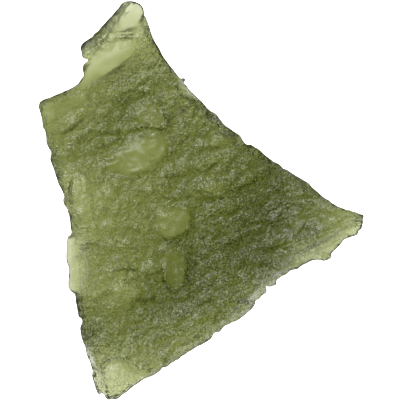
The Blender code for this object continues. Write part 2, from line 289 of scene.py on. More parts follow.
def dense_outline(spacing):
    """The outline as evenly spaced points, with its way inwards at each."""
    ring = np.array(OUTLINE, float)
    steps = np.hypot(*(np.roll(ring, -1, axis=0) - ring).T)
    at = np.concatenate([[0], np.cumsum(steps)])
    count = int(round(at[-1] / spacing))
    want = np.arange(count) * at[-1] / count
    closed = np.vstack([ring, ring[:1]])
    points = np.column_stack([np.interp(want, at, closed[:, k]) for k in (0, 1)])
    points = (
        0.5 * points + 0.25 * np.roll(points, 1, axis=0) + 0.25 * np.roll(points, -1, axis=0)
    )
    tangent = np.roll(points, -2, axis=0) - np.roll(points, 2, axis=0)
    for _ in range(3):
        tangent = tangent + np.roll(tangent, 1, axis=0) + np.roll(tangent, -1, axis=0)
    tangent /= np.linalg.norm(tangent, axis=1)[:, None]
    return points, np.column_stack([-tangent[:, 1], tangent[:, 0]]), want / at[-1]


RING, INWARD, RING_AT = dense_outline(FINE)
TREE = mathutils.kdtree.KDTree(len(RING))
for _i, (_u, _v) in enumerate(RING):
    TREE.insert((_u, _v, 0), _i)
TREE.balance()


def to_edge(points):
    """(distance to the outline, the number of its nearest point) for each point."""
    gap = np.empty(len(points))
    near = np.empty(len(points), int)
    for k, (u, v) in enumerate(points):
        _, i, _ = TREE.find((u, v, 0))
        near[k] = i
        best = 1e9
        for j in (i - 1, i):
            a, b = RING[j % len(RING)], RING[(j + 1) % len(RING)]
            dx, dy = b[0] - a[0], b[1] - a[1]
            t = min(1.0, max(0.0, ((u - a[0]) * dx + (v - a[1]) * dy) / (dx * dx + dy * dy)))
            best = min(best, math.hypot(u - a[0] - t * dx, v - a[1] - t * dy))
        gap[k] = best
    return gap, near


# How the rim falls away, at places along the outline: (place, width of the bevel on top
# in grid units, how far it drops in millimetres, width of the slope underneath, how
# dark the painted shade along the rim is, how wide that painted shade is).
RIMS = [
    ((131, 1), 3, 0.15, 1.0, 0.0, 2), ((142, 6), 3, 0.2, 1.5, 0.2, 2), ((147, 20), 3, 0.2, 2, 0.45, 3),
    ((160, 50), 3, 0.25, 2, 0.55, 4), ((180, 79), 3, 0.3, 2, 0.3, 2), ((200, 100), 3, 0.3, 2, 0.5, 3),
    ((215, 114), 3, 0.3, 2.5, 0.7, 7), ((228, 128), 4, 0.4, 3, 0.75, 8), ((240, 138), 5, 0.4, 2, 0.3, 6),
    ((246, 145), 5, 0.45, 3, 0.65, 8), ((264, 155), 6, 0.5, 3, 0.62, 9),
    ((290, 173), 6, 0.5, 2.5, 0.35, 7), ((312, 188), 4, 0.35, 3, 0.6, 6), ((331, 203), 3, 0.25, 2, 0.55, 4),
    ((362, 216), 3, 0.2, 1, 0.3, 2), ((345, 238), 4, 0.25, 0.8, 0.6, 2), ((321, 260), 5, 0.3, 0.8, 0.6, 2.2),
    ((300, 266), 4, 0.25, 1.0, 0.6, 3), ((288, 271), 4, 0.25, 1.2, 0.5, 3.5), ((278, 279), 8, 0.55, 1.2, 0.2, 2),
    ((266, 290), 9, 0.65, 1.2, 0.1, 2), ((256, 300), 8, 0.6, 1.2, 0.3, 2), ((247, 312), 5, 0.4, 1.2, 0.5, 2.5),
    ((226, 324), 6, 0.45, 1.0, 0.3, 2), ((212, 335), 9, 0.65, 1.0, 0.1, 2), ((200, 344), 6, 0.45, 1.0, 0.4, 3),
    ((180, 357), 7, 0.5, 1.0, 0.25, 2), ((165, 366), 5, 0.35, 1.0, 0.45, 2.5),
    ((150, 376), 4, 0.3, 1.0, 0.5, 2.5), ((119, 397), 2, 0.15, 0.8, 0.3, 1.5),
    ((98, 394), 3, 0.3, 1.5, 0.3, 2), ((91, 366), 6, 0.5, 1.5, 0.2, 2), ((84, 342), 9, 0.7, 2, 0.3, 6),
    ((82, 326), 9, 0.7, 2, 0.35, 6), ((79, 313), 3, 0.3, 2, 0.7, 6), ((76, 300), 3, 0.3, 2, 0.6, 6), ((75, 293), 2, 0.15, 1, 0.4, 3),
    ((67, 270), 2, 0.1, 0.7, 0.15, 1.2), ((67, 240), 2, 0.1, 0.7, 0.0, 1.2), ((71, 225), 4, 0.3, 2.5, 0.25, 4),
    ((68, 210), 4, 0.3, 2.5, 0.18, 4), ((63, 195), 5, 0.4, 3, 0.75, 8), ((56, 172), 5, 0.4, 3.5, 0.85, 11),
    ((51, 159), 5, 0.4, 3, 0.8, 10), ((48, 143), 4, 0.3, 2.5, 0.6, 6), ((45, 130), 4, 0.3, 2, 0.2, 3),
    ((40, 108), 2, 0.15, 1, 0.2, 1.5), ((50, 98), 2, 0.15, 1, 0.5, 2.5), ((66, 91), 2, 0.15, 1, 0.5, 2.5),
    ((78, 84), 2, 0.15, 1, 0.3, 1.5), ((84, 70), 2, 0.1, 0.7, 0.1, 1.5), ((82, 50), 4, 0.3, 1.5, 0.25, 5),
    ((95, 34), 5, 0.35, 1.5, 0.2, 4), ((106, 23), 4, 0.3, 1.2, 0.15, 3), ((112, 16), 5, 0.3, 1.5, 0.2, 5), ((120, 6), 4, 0.3, 1.2, 0.25, 3),
]


def rims():
    """The rim's numbers at every point of the dense outline."""
    rows = []
    for (u, v), *numbers in RIMS:
        _, i, _ = TREE.find((u, v, 0))
        rows.append((i, *numbers))
    rows.sort()
    n = len(RING)
    rows = [(rows[-1][0] - n, *rows[-1][1:])] + rows + [(rows[0][0] + n, *rows[0][1:])]
    at = [r[0] for r in rows]
    return np.column_stack([np.interp(np.arange(n), at, [r[k] for r in rows]) for k in (1, 2, 3, 4, 5)])


RIM = rims()


def by_place(u, v, table, blend):
    """A value that blends between those given at places on the grid."""
    top = np.zeros(u.shape)
    total = np.zeros(u.shape)
    for cu, cv, t in table:
        gap = (u - cu) ** 2 + (v - cv) ** 2
        w = np.exp(-gap / (2 * blend**2)) + 1e-9 / (1 + gap)
        top += w * t
        total += w
    return top / total


def thickness(u, v):
    return by_place(u, v, THICKNESS, BLEND) + 0.2 * smooth((v - 60) / 40)


def profile(x, crisp):
    """A rim's height over its widest line, 0 at the outline and 1 where the face begins."""
    x = np.clip(x, 0, 1)
    return (1 - (1 - x) ** crisp) ** (1 / 1.7)


# ------------------------------------------------------------------ the stone's faces
LENS = [
    (74, 86), (70, 70), (76, 60), (85, 59.5), (92, 56), (100, 50), (108, 45), (118, 40.5), (126, 39),
    (133, 39.5), (137, 43), (138.5, 48), (136.5, 53.5), (132.5, 58), (127.5, 62.5), (122, 67),
    (115, 72.5), (110, 76), (103, 80), (97, 83.5), (90, 87.5), (82, 91),
]
TIP = [
    (114.5, 33.5), (115, 26), (117, 18), (120, 10.5), (125.5, 3.5), (130, -8), (142, -8), (158, 4),
    (154, 15), (145, 18.5), (142, 23), (139.5, 29), (134, 33.5), (125, 34.5),
]
ARCH = [
    (103, 365), (110, 360), (118, 358.5), (127, 358), (132, 361.5), (137, 366), (146, 369),
    (154, 374), (152, 388), (138, 402), (120, 412), (104, 412), (100, 396), (103, 380),
]
GLASSY = [
    (80, 344), (88, 347), (93, 356), (98, 366), (104, 372), (106, 382), (109, 394), (108, 408),
    (86, 408), (74, 370),
]
CHIP = [(178, 83), (178, 76), (188, 72), (202, 88), (212, 101), (198, 101), (190, 99), (181, 94)]
FRACTURE = [
    (229, 315), (236, 310.5), (244, 311), (250, 307.5), (254, 300), (264, 298), (262, 312),
    (246, 328), (228, 334),
]
FACETS = [
    (246, 301), (251, 292), (257, 286.5), (265, 282.5), (272, 279), (280, 270), (290, 276), (284, 292), (268, 306),
    (254, 308),
]
LEDGES = [
    (212, 336), (214, 330), (222, 325), (232, 320), (240, 330), (222, 344),
]
BAND = [
    (281, 265), (291, 254.5), (303, 248.5), (313, 243.5), (322, 239), (336, 229), (350, 221),
    (376, 214), (380, 250), (345, 280), (300, 292), (272, 288),
]
# Broad hollows with a shape of their own: outline, depth, how wide their wall is to the
# upper left and to the lower right, how clear their floor is.
POOLS = [
    ([(104, 168), (109, 159), (114, 152.5), (121, 146), (128, 140.5), (136, 136), (145, 133),
      (155, 131.5), (163, 133.5), (168.5, 138.5), (170, 145), (168, 154), (163, 161), (156, 167),
      (147, 172), (136, 175.5), (124, 176), (113, 174)], 0.60, 11, 5, 1.15),
    ([(132, 108), (136, 102), (144, 99.5), (152, 101), (158, 107), (162, 114), (163, 122),
      (158, 126.5), (148, 126), (139, 125), (134, 118)], 0.50, 7, 3.5, 0.8),
    ([(155, 214), (160, 207), (170, 204), (181, 204), (190, 208), (194, 216), (191, 226),
      (185, 234), (176, 239.5), (166, 240), (158, 236), (154, 226)], 0.75, 9, 4, 0.9),
    ([(163, 262), (165, 254), (171, 249), (179, 248), (185, 252), (187, 262), (186.5, 274),
      (184, 285), (178, 291), (170, 290.5), (165.5, 283), (163, 272)], 0.50, 4, 2.6, 0.9),
    ([(198, 194), (200, 186), (207, 180), (216, 177.5), (226, 178), (233, 181.5), (231, 189),
      (224, 196), (214, 200), (204, 200)], 0.55, 7, 2.6, 0.45),
    ([(192, 170), (191, 161), (196, 156), (202, 158), (204, 165), (200, 172)], 0.35, 3, 3, 0.7),
    ([(205, 146), (208, 137), (215, 131), (224, 129), (232, 132), (237, 139), (234, 147),
      (224, 149), (213, 150)], 0.40, 6, 4, 0.6),
    ([(108, 300), (110, 288), (117, 281), (128, 281), (140, 283), (147, 289), (143, 297),
      (132, 304), (120, 309), (111, 308)], 0.45, 8, 6, 0.5),
    ([(105, 276), (112, 270.5), (124, 268.5), (136, 270), (146, 275), (150, 282), (138, 281),
      (124, 278.5), (112, 281)], 0.22, 3, 5, 0.4),
    ([(143, 272), (143, 263), (149, 258), (158, 259), (163, 265), (161, 273), (152, 275)],
     0.30, 4, 3, 0.0),
    ([(181, 172), (179, 162), (182, 155), (188, 153), (192, 158), (191, 168), (187, 174)],
     0.30, 4, 2.5, 0.0),
    ([(286, 236), (285, 218), (290, 209), (300, 206), (306, 213), (305, 226), (298, 236)],
     0.22, 5, 5, 0.8),
    ([(66, 106), (70, 96), (79, 91.5), (88, 93), (91, 100), (84, 106), (74, 109)], 0.35, 6, 5, 0.9),
    ([(40, 118), (36, 104), (46, 94), (58, 101), (62, 110), (58, 121), (48, 127)], 0.30, 6, 8, 0.8),
    ([(70, 200), (70, 176), (77, 168), (88, 171), (93, 184), (93, 204), (88, 222), (76, 226)],
     0.35, 5, 12, 0.4),
    ([(203, 163), (206, 156), (213, 154), (219, 157), (217, 162), (209, 167)], 0.30, 3, 2, 0.3),
    ([(182, 108), (188, 105), (195, 108), (194, 118), (188, 126), (182, 122)], 0.30, 4, 3, 0.4),
    ([(190, 128), (194, 120), (201, 118), (205, 123), (202, 130), (195, 132)], 0.25, 3, 3, 0.6),
]
# Dark lines along cracks and the feet of steep walls, partly dirt and partly painted shade: line, half width, how dark.
CRACK_AND_SHADE_LINES = [
    ([(172, 134), (171, 140), (171.5, 147), (170, 154), (165, 161)], 1.4, 0.41),
    ([(100, 171), (110, 175), (122, 177.5), (134, 178), (146, 175)], 2.0, 0.30),
    ([(133, 131), (140, 128.5), (149, 127), (158, 128.5), (166, 131)], 1.7, 0.47),
    ([(97, 134), (106, 132.5), (115, 134), (124, 133)], 2.2, 0.41),
    ([(108, 141), (116, 139.5), (124, 141), (130, 138)], 2.0, 0.38),
    ([(95, 147), (102, 145.5), (110, 147)], 1.6, 0.38),
    ([(62, 134), (70, 129), (78, 123.5), (85, 118)], 2.2, 0.41),
    ([(72, 149), (78, 142), (84, 135.5), (91, 129)], 2.2, 0.41),
    ([(84, 107), (92, 105.5), (99, 107)], 1.6, 0.36),
    ([(120, 99), (124, 104), (126, 111)], 3.2, 0.30),
    ([(139, 95), (147, 92), (155, 93.5)], 2.4, 0.30),
    ([(158, 100), (163, 108), (166, 118), (168, 127)], 2.5, 0.30),
    ([(196, 101), (189, 106), (183, 112), (179, 117)], 2.0, 0.50),
    ([(206, 120), (203, 128), (200, 137)], 2.0, 0.36),
    ([(208, 168.5), (213, 165.5), (218, 161.5)], 1.3, 0.53),
    ([(234, 182), (231.5, 189.5), (224.5, 196.5), (216, 201), (206, 203), (197, 205)], 1.4, 0.59),
    ([(214, 183), (221, 179.5), (229, 179)], 2.4, 0.26),
    ([(236, 191), (244, 186), (253, 181), (262, 174)], 1.8, 0.45),
    ([(163, 177), (172, 175.5), (180, 173)], 2.6, 0.36),
    ([(160, 187), (166, 181), (173, 178)], 2.2, 0.26),
    ([(150, 198), (165, 197), (180, 198), (195, 196)], 1.0, 0.26),
    ([(158, 239), (167, 242), (177, 241), (185.5, 236.5), (191.5, 228), (195, 218)], 2.0, 0.40),
    ([(187, 250), (189.5, 258), (189, 268), (187.5, 278), (184, 288), (177, 293)], 1.9, 0.53),
    ([(162, 262), (162.5, 272), (164.5, 283), (170, 291.5)], 1.3, 0.38),
    ([(105, 273), (114, 269.5), (125, 268), (136, 269.5), (146, 274), (152, 281)], 1.6, 0.38),
    ([(133, 299), (141, 300.5), (150, 299), (157, 294)], 2.6, 0.36),
    ([(126, 311), (131, 306), (136, 302)], 2.2, 0.30),
    ([(204, 234), (203, 239), (205, 245), (203, 250)], 1.6, 0.45),
    ([(222, 243.5), (231, 243), (240, 244)], 1.2, 0.38),
    ([(260, 246), (268, 248), (276, 247.5)], 2.2, 0.33),
    ([(197, 305), (204, 301), (211, 298)], 2.0, 0.36),
    ([(192, 256), (194, 263), (192, 274), (189, 286)], 3.0, 0.26),
    ([(149, 342), (158, 338), (168, 335), (180, 331)], 2.0, 0.30),
    ([(103, 362), (110, 358.7), (118, 357.2), (128, 356.7), (132, 360), (137, 364.3), (148, 365)], 1.2, 0.45),
    ([(73, 234), (77, 237.5), (75.5, 242), (77, 246)], 1.2, 0.65),
    ([(127, 64), (119, 70), (110, 76.5), (103, 80.5)], 1.2, 0.59),
    ([(120, 39.3), (127, 38), (134, 38.5)], 0.9, 0.53),
    ([(119, 35.3), (127, 34.6), (134, 35)], 0.9, 0.38),
    ([(141, 17), (145, 16)], 1.0, 0.71), ([(119, 13), (123, 8.5), (127, 4)], 0.9, 0.30),
    ([(123, 13.5), (128, 12.5)], 1.0, 0.30), ([(89, 60), (92, 57)], 1.2, 0.53),
    ([(116, 66.5), (120, 69)], 1.0, 0.36),
    ([(180, 94.5), (185, 97), (190, 99), (197, 100)], 1.2, 0.53),
    ([(177.5, 83.5), (178, 88), (180.5, 92)], 1.6, 0.89), ([(181, 81), (184, 80)], 1.2, 0.47),
    ([(106.5, 384), (108, 391), (110, 398)], 1.2, 0.59), ([(97, 372), (101, 380), (102, 388)], 1.0, 0.47),
    ([(92, 362), (95, 369), (96, 377)], 1.0, 0.47),
    ([(240, 299.5), (246, 301), (249, 304.5)], 2.6, 0.89), ([(232, 307), (239, 306.5)], 1.7, 0.89),
    ([(230, 310), (237, 312), (245, 312), (251.5, 307.5)], 1.0, 0.47),
    ([(80, 314.5), (84, 316)], 2.4, 0.89),
    ([(283, 263), (292, 254), (303, 248), (313, 243), (320, 240), (335, 230)], 1.1, 0.24),
    ([(96, 178), (107, 177.5)], 0.9, 0.36), ([(97, 182), (106, 181.5)], 0.9, 0.30),
    ([(279, 252), (283, 248), (290, 247)], 0.9, 0.30), ([(276, 255), (279, 261), (285, 265)], 0.9, 0.30),
    ([(283, 254), (286, 251), (291, 250.5)], 0.9, 0.24),
    ([(321, 259), (323, 253), (327, 249)], 0.9, 0.30), ([(325, 259), (327, 254), (330, 251)], 0.9, 0.30),
    ([(317, 257), (318, 252), (322, 247)], 0.9, 0.24),
    ([(310, 251), (320, 244), (332, 238), (345, 231)], 1.2, 0.18),
    ([(338, 219), (348, 215), (357, 217)], 1.2, 0.24),
    ([(124, 17), (127, 13), (130, 10)], 1.2, 0.35), ([(116, 34.5), (125, 35), (134, 34.5)], 0.7, 0.3),
    ([(117, 38.5), (126, 38.5), (134, 38)], 0.8, 0.4), ([(88, 50), (97, 42), (107, 30)], 1.2, 0.30),
    ([(93, 51), (103, 42), (110, 33)], 1.0, 0.3), ([(83, 44), (93, 38), (101, 31), (110, 20), (118, 10)], 1.0, 0.12),
    ([(95, 374), (97, 384), (99, 393)], 1.2, 0.8), ([(101, 364), (104, 376), (107, 388), (109, 397)], 1.3, 0.8),
    ([(110, 386), (117, 384), (124, 385)], 0.6, 0.35), ([(111, 390), (118, 389), (125, 390)], 0.6, 0.3),
    ([(112, 395), (119, 393.5), (125, 395)], 0.6, 0.3), ([(178, 93), (181, 97), (186, 99), (197, 101)], 1.3, 1.0),
    ([(178, 83), (177, 87), (178.5, 91)], 1.5, 0.9),
    ([(289, 259), (300, 250), (312, 245), (325, 240), (338, 234)], 1.2, 0.28),
    ([(300, 254), (308, 248), (320, 243), (330, 239)], 1.0, 0.28), ([(320, 250), (324, 254), (326, 258)], 0.9, 0.35),
    ([(316, 251), (320, 255), (321, 259)], 0.8, 0.3), ([(330, 243), (338, 239), (350, 234)], 0.9, 0.4),
    ([(332, 233), (344, 229), (356, 224)], 1.0, 0.45), ([(232, 311), (240, 309.5), (249, 307), (254, 302)], 0.9, 0.8),
    ([(165, 262), (165, 280), (172, 290), (180, 290), (186, 280), (187, 262)], 2.2, 0.25),
    ([(103, 368), (107, 361), (115, 357.5), (126, 357), (132, 361), (136, 367), (146, 369)], 1.9, 0.3),
    ([(236, 304), (240, 299.5), (246, 298.5), (250, 302), (249, 305)], 1.9, 0.9),
    ([(192, 214), (190, 226), (183, 235), (172, 240), (160, 238)], 2.6, 0.2),
    ([(87, 44), (97, 35), (106, 26)], 1.0, 0.35), ([(95, 47), (106, 38), (113, 27), (117, 17)], 1.0, 0.3),
]
# Patches: centre, half length, half width, turn, how much darker (negative: cleaner),
# how much more frosted. The small clean, frosted patches at (181.5, 90.5) and (244, 308) are painted glints.
PATCHES = [
    (100, 118, 8, 9, 0, -0.05, 0.8), (126, 119, 6, 5, 0, -0.05, 0.8), (100, 101, 7, 5, 0, -0.05, 0.6),
    (115, 98, 7, 6, 0, -0.05, 0.6), (84, 125, 7, 4, 30, -0.05, 0.9), (82, 149, 6, 5, 0, -0.08, 0.9),
    (138, 110, 5, 10, 10, -0.10, 0.7), (122, 149, 4, 11, -42, -0.15, 0.9), (135, 139, 4, 9, -60, -0.15, 0.9),
    (77, 208, 6, 20, 0, -0.12, 0.9), (186, 163, 6, 10, 0, -0.08, 1.0), (218, 171, 5, 5, 0, -0.08, 0.9),
    (205, 188, 6, 6, 0, -0.10, 0.5), (138, 218, 5, 5, 0, -0.12, 1.0), (162, 217, 5, 8, 0, -0.10, 0.7),
    (175, 225, 4, 4, 0, -0.10, 0.5), (153, 266, 9, 6, 0, -0.15, 1.0), (118, 290, 5, 13, 0, -0.16, 0.8),
    (145, 312, 6, 5, 0, -0.12, 1.0), (196, 228, 7, 8, 0, -0.10, 0.8), (209, 234, 6, 8, -30, -0.10, 0.9),
    (202, 248, 5, 6, 0, -0.10, 0.9), (216, 256, 8, 7, 0, -0.08, 0.9), (204, 268, 6, 7, 0, -0.14, 1.2),
    (193, 267, 4, 4, 0, -0.10, 0.8), (255, 258, 9, 6, 0, -0.10, 0.8), (243, 207, 5, 4, 0, -0.06, 0.8),
    (272, 242, 4, 4, 0, -0.08, 0.8), (294, 219, 6, 3, 30, -0.12, 0.9), (142, 70, 24, 10, 12, 0.0, 0.8),
    (170, 245, 9, 5, 0, -0.05, 0.7), (170, 300, 14, 9, 0, 0.0, 0.5), (90, 333, 10, 19, -8, 0.3, 1.4), (97, 338, 7, 12, -8, 0.15, 0.6),
    (91, 358, 5, 12, -15, -0.3, 1.5), (99, 384, 6, 14, -12, -0.4, 1.0), (258, 291, 11, 7, 35, -0.05, 1.1),
    (246, 301, 4, 3, 30, 0.5, 0.0), (100, 43, 13, 4.5, 42, 0.3, 0.15), (112, 27, 11, 4, 58, 0.3, 0.15), (176, 270, 3.5, 10, 0, -0.3, 0.5), (103, 24, 9, 2.5, 52, -0.7, 1.0), (92, 35, 6, 2.5, 40, -0.7, 1.0),
    (98, 33, 27, 6.5, 46, 0.62, 0.6), (128, 35, 12, 4, 0, 0.12, 0.2), (150, 32, 6, 20, 10, 0.06, 0.3), (90, 68, 8, 9, 0, -0.15, 0.0), (240, 139, 5, 4, 60, -0.3, 1.2),
    (183, 91, 3, 2.5, 0, -0.3, 1.2), (80, 163, 7, 3.5, 0, -0.10, 0.6), (107, 164, 8, 4, 10, -0.06, 0.5),
    (200, 330, 16, 4, 30, -0.1, 0.8), (175, 352, 16, 4, 30, -0.1, 0.9), (75, 240, 5, 3, 90, -0.1, 0.2),
    (110, 133, 14, 6, 5, 0.08, 0.0), (245, 188, 14, 7, 30, 0.06, 0.0), (190, 262, 5, 14, 0, 0.10, 0.0),
    (147, 300, 14, 6, 15, 0.08, 0.0), (225, 243, 12, 5, 10, 0.05, 0.2), (93, 328, 8, 8, 0, 0.06, 0.5),
    (93, 45, 12, 6, 40, 0.22, 0.7), (106, 29, 14, 5, 52, 0.15, 0.6), (118, 9, 6, 4, 45, 0.1, 0.4),
    (120, 22, 8, 2.2, 65, 0.0, 1.2), (129, 26, 8, 1.8, 60, 0.0, 0.9), (134, 8, 6, 2.2, 40, 0.0, 0.9),
    (100, 381, 5, 14, -15, 0.0, 1.3), (190, 91, 9, 5, -35, -0.6, 0.6), (286, 173, 9, 4, 38, -0.55, 0.6), (273, 288, 9, 4, 35, -0.5, 0.9), (253, 310, 7, 4, 30, -0.4, 0.8), (47, 120, 4, 14, -12, -0.60, 0.5), (69, 222, 3, 14, -10, -0.45, 0.6), (188, 311, 12, 7, 20, 0.30, 0.0), (108, 331, 9, 7, 0, 0.32, 0.0), (133, 271, 9, 7, 10, 0.24, 0.0), (172, 118, 12, 6, 15, 0.10, 0.0),
    (309, 231, 12, 9, 20, 0.85, 0.0), (310, 249, 9, 6, 25, 0.30, 0.0), (262, 271, 15, 9, 25, 0.26, 0.0), (234, 290, 9, 6, 20, 0.14, 0.0), (278, 213, 20, 11, 20, 0.26, 0.0), (270, 205, 18, 10, 20, 0.05, 0.0), (181.5, 90.5, 1.8, 2.2, 0, -1.5, 2.0), (244, 308, 6, 1.8, 22, -1.6, 3.0), (243, 302, 8, 4.5, 15, 0.3, -1.5),
    (262, 289, 8, 4, 35, -0.3, 1.0), (318, 254, 9, 3, 30, -0.2, 0.9), (304, 256, 9, 2.5, 30, -0.2, 0.9),
]

# Hollows in the top: centre, half length, half width, turn, depth in mm, how much
# deeper towards the lower right (-1 to 1), how clear their floor is.
HOLLOWS = [
        (125, 108, 8, 7, 0, -0.30, 0, 0.5),                 (217, 170, 6, 5, 20, 0.30, 0, 0.2),     (138, 217, 7, 6, 0, 0.30, 0, 0.1),
        (169, 248, 8, 7, 0, 0.25, 0, 0.0),     (128, 273, 15, 6, 12, -0.35, 0, 0.6), (143, 312, 7, 5, 0, 0.40, 0, 0.0),
    (117, 308, 7, 5, 0, 0.28, 0, 0.3), (203, 268, 7, 7, 0, 0.35, 0, 0.1),
    (205, 253, 8, 5, 30, 0.30, 0, 0.0), (218, 258, 9, 6, 10, 0.35, 0, 0.1),
    (256, 259, 8, 6, 0, 0.40, 0, 0.1), (186, 293, 11, 6, 30, 0.35, -0.2, 0.2),
    (210, 312, 12, 7, 25, 0.45, 0, 0.3), (75, 190, 15, 7, 80, 0.45, 0, 0.5),
    (88, 182, 12, 8, 70, 0.30, 0, 0.5), (88, 212, 14, 9, 75, 0.30, 0, 0.5),
    (88, 243, 12, 7, 20, 0.30, 0, 0.6), (82, 270, 14, 6, 85, 0.35, 0, 0.7),
    (150, 188, 10, 6, 60, 0.30, 0, 0.3),     (105, 197, 16, 9, 20, 0.25, 0, 0.5), (130, 200, 14, 8, 25, 0.25, 0, 0.4),
    (100, 290, 13, 9, 60, 0.30, 0, 0.4), (246, 207, 6, 5, 20, 0.25, 0, 0.0),
    (215, 233, 7, 5, 60, 0.30, 0, 0.0), (192, 229, 8, 5, 20, 0.30, 0, 0.0),
    (231, 205, 10, 6, 30, 0.25, 0, 0.2), (275, 243, 5, 4, 0, 0.25, 0, 0.0),
    (258, 230, 6, 5, 0, 0.25, 0, 0.0), (288, 222, 6, 5, 0, 0.25, 0, 0.0),
    (106, 112, 9, 6, 30, 0.30, -0.3, 0.2), (100, 142, 6, 4, 20, 0.25, -0.3, 0.1),
    (84, 125, 7, 4, 30, 0.25, 0, 0.0), (164, 100, 9, 6, 30, 0.30, 0, 0.1),
    (115, 96, 10, 6, 30, 0.28, 0, 0.1), (140, 80, 10, 6, 30, 0.30, 0, 0.2),
    (168, 116, 7, 6, 60, 0.30, 0, 0.0), (265, 260, 10, 5, 25, 0.35, 0, 0.2),
    (240, 262, 9, 6, 20, 0.30, 0, 0.2), (232, 280, 10, 6, 25, 0.30, 0, 0.2),
    (172, 320, 13, 7, 25, 0.30, 0, 0.2), (200, 318, 9, 6, 25, 0.30, 0, 0.2),
    (150, 325, 12, 7, 25, 0.30, 0, 0.2), (118, 330, 12, 8, 25, 0.30, 0, 0.3),
    (176, 343, 14, 6, 28, 0.30, 0, 0.4), (133, 350, 12, 6, 20, 0.35, 0, 0.4),
]
# Furrows and steps: (line, how far they fade to the upper left, how far to the lower
# right, depth).  A short fade is a steep side; a negative depth is a ridge.
FURROWS = [
    ([(61, 135), (72, 128), (80, 121.5), (86, 116)], 7, 2.0, 0.32),
    ([(72, 154), (79, 144), (88, 134), (96, 127)], 7, 2.0, 0.34),
    ([(88, 152), (97, 146.5), (107, 147)], 6, 1.8, 0.28),
    ([(98, 135), (108, 133), (122, 134.5)], 6, 1.8, 0.35),
    ([(106, 147), (115, 141.5), (126, 144)], 5, 1.8, 0.35),
    ([(122, 134), (130, 130), (141, 127), (151, 126.8), (161, 129), (170, 126)], 6, 2.2, 0.45),
    ([(138, 97), (147, 93), (156, 94)], 5, 2.5, 0.35),
    ([(161, 177), (172, 176), (184, 174), (192, 169)], 6, 2.2, 0.38),
    ([(206, 170), (212, 166), (219, 160), (224, 154)], 5, 1.8, 0.38),
    ([(188, 103), (196, 102), (203, 104)], 4, 2.0, 0.40),
    ([(240, 186), (250, 182), (262, 178), (272, 172)], 7, 2.0, 0.36),
    ([(222, 246), (232, 240), (243, 236)], 6, 2.0, 0.36),
    ([(262, 250), (270, 246), (280, 243), (290, 240)], 6, 2.0, 0.34),
    ([(186.5, 249), (187, 262), (186, 275)], 4, 2.2, 0.45),
    ([(164, 268), (165, 280), (170, 290), (180, 292)], 3, 2.5, 0.35),
    ([(133, 296), (145, 299), (158, 296)], 6, 2.5, 0.40),
    ([(197, 305), (204, 300), (212, 297)], 5, 2.0, 0.35),
    ([(110, 271), (122, 268), (138, 268.5), (148, 272)], 4, 2.0, 0.30),
    ([(150, 341), (160, 338), (172, 334), (186, 330)], 5, 2.0, 0.30),
    ([(72.5, 168), (76, 163), (80, 160), (84, 163.5), (88, 168)], 2, 2.0, -0.22),
    ([(228, 215), (236, 209), (247, 200)], 6, 2.0, 0.28),
    ([(200, 205), (212, 201), (226, 198)], 3, 3.0, -0.16),
    ([(100, 170), (112, 164), (124, 159)], 5, 2.0, 0.20),
    ([(140, 173), (152, 170), (164, 163)], 5, 2.0, 0.25),
    ([(246, 160), (258, 158), (270, 163)], 5, 2.0, 0.28),
    ([(225, 120), (212, 128), (203, 137), (200, 146)], 3, 3.0, 0.25),
    ([(108, 232), (122, 226), (138, 228)], 6, 2.0, 0.18),
    ([(100, 254), (118, 247), (140, 246)], 6, 2.0, 0.20),
]


def signed_line(u, v, line):
    """Distance to a line, positive to its lower right."""
    gap, part, side = along_line(u, v, line)
    if line[0][0] > line[-1][0]:
        side = -side
    return gap * side, gap, part


def sided(u, v, ring, ragged=1.0):
    """Distance inside a closed ring, with a slightly ragged line, and how far its nearest
    side lies towards the lower right (-1 to 1)."""
    points = np.array(ring, float)
    gap = np.full(u.shape, 1e9)
    side = np.zeros(u.shape)
    for (ax, ay), (bx, by) in zip(points, np.roll(points, -1, axis=0)):
        dx, dy = bx - ax, by - ay
        t = np.clip(((u - ax) * dx + (v - ay) * dy) / (dx * dx + dy * dy), 0, 1)
        du, dv = ax + t * dx - u, ay + t * dy - v
        d = np.hypot(du, dv)
        side = np.where(d < gap, (0.6 * du + 0.8 * dv) / np.maximum(d, 1e-6), side)
        gap = np.minimum(gap, d)
    d = inside(u, v, ring)
    wander = noise2(u / 7, v / 7, 91) + 0.5 * noise2(u / 3.1, v / 3.1, 92)
    return d + ragged * wander, np.where(d > 0, side, -side)


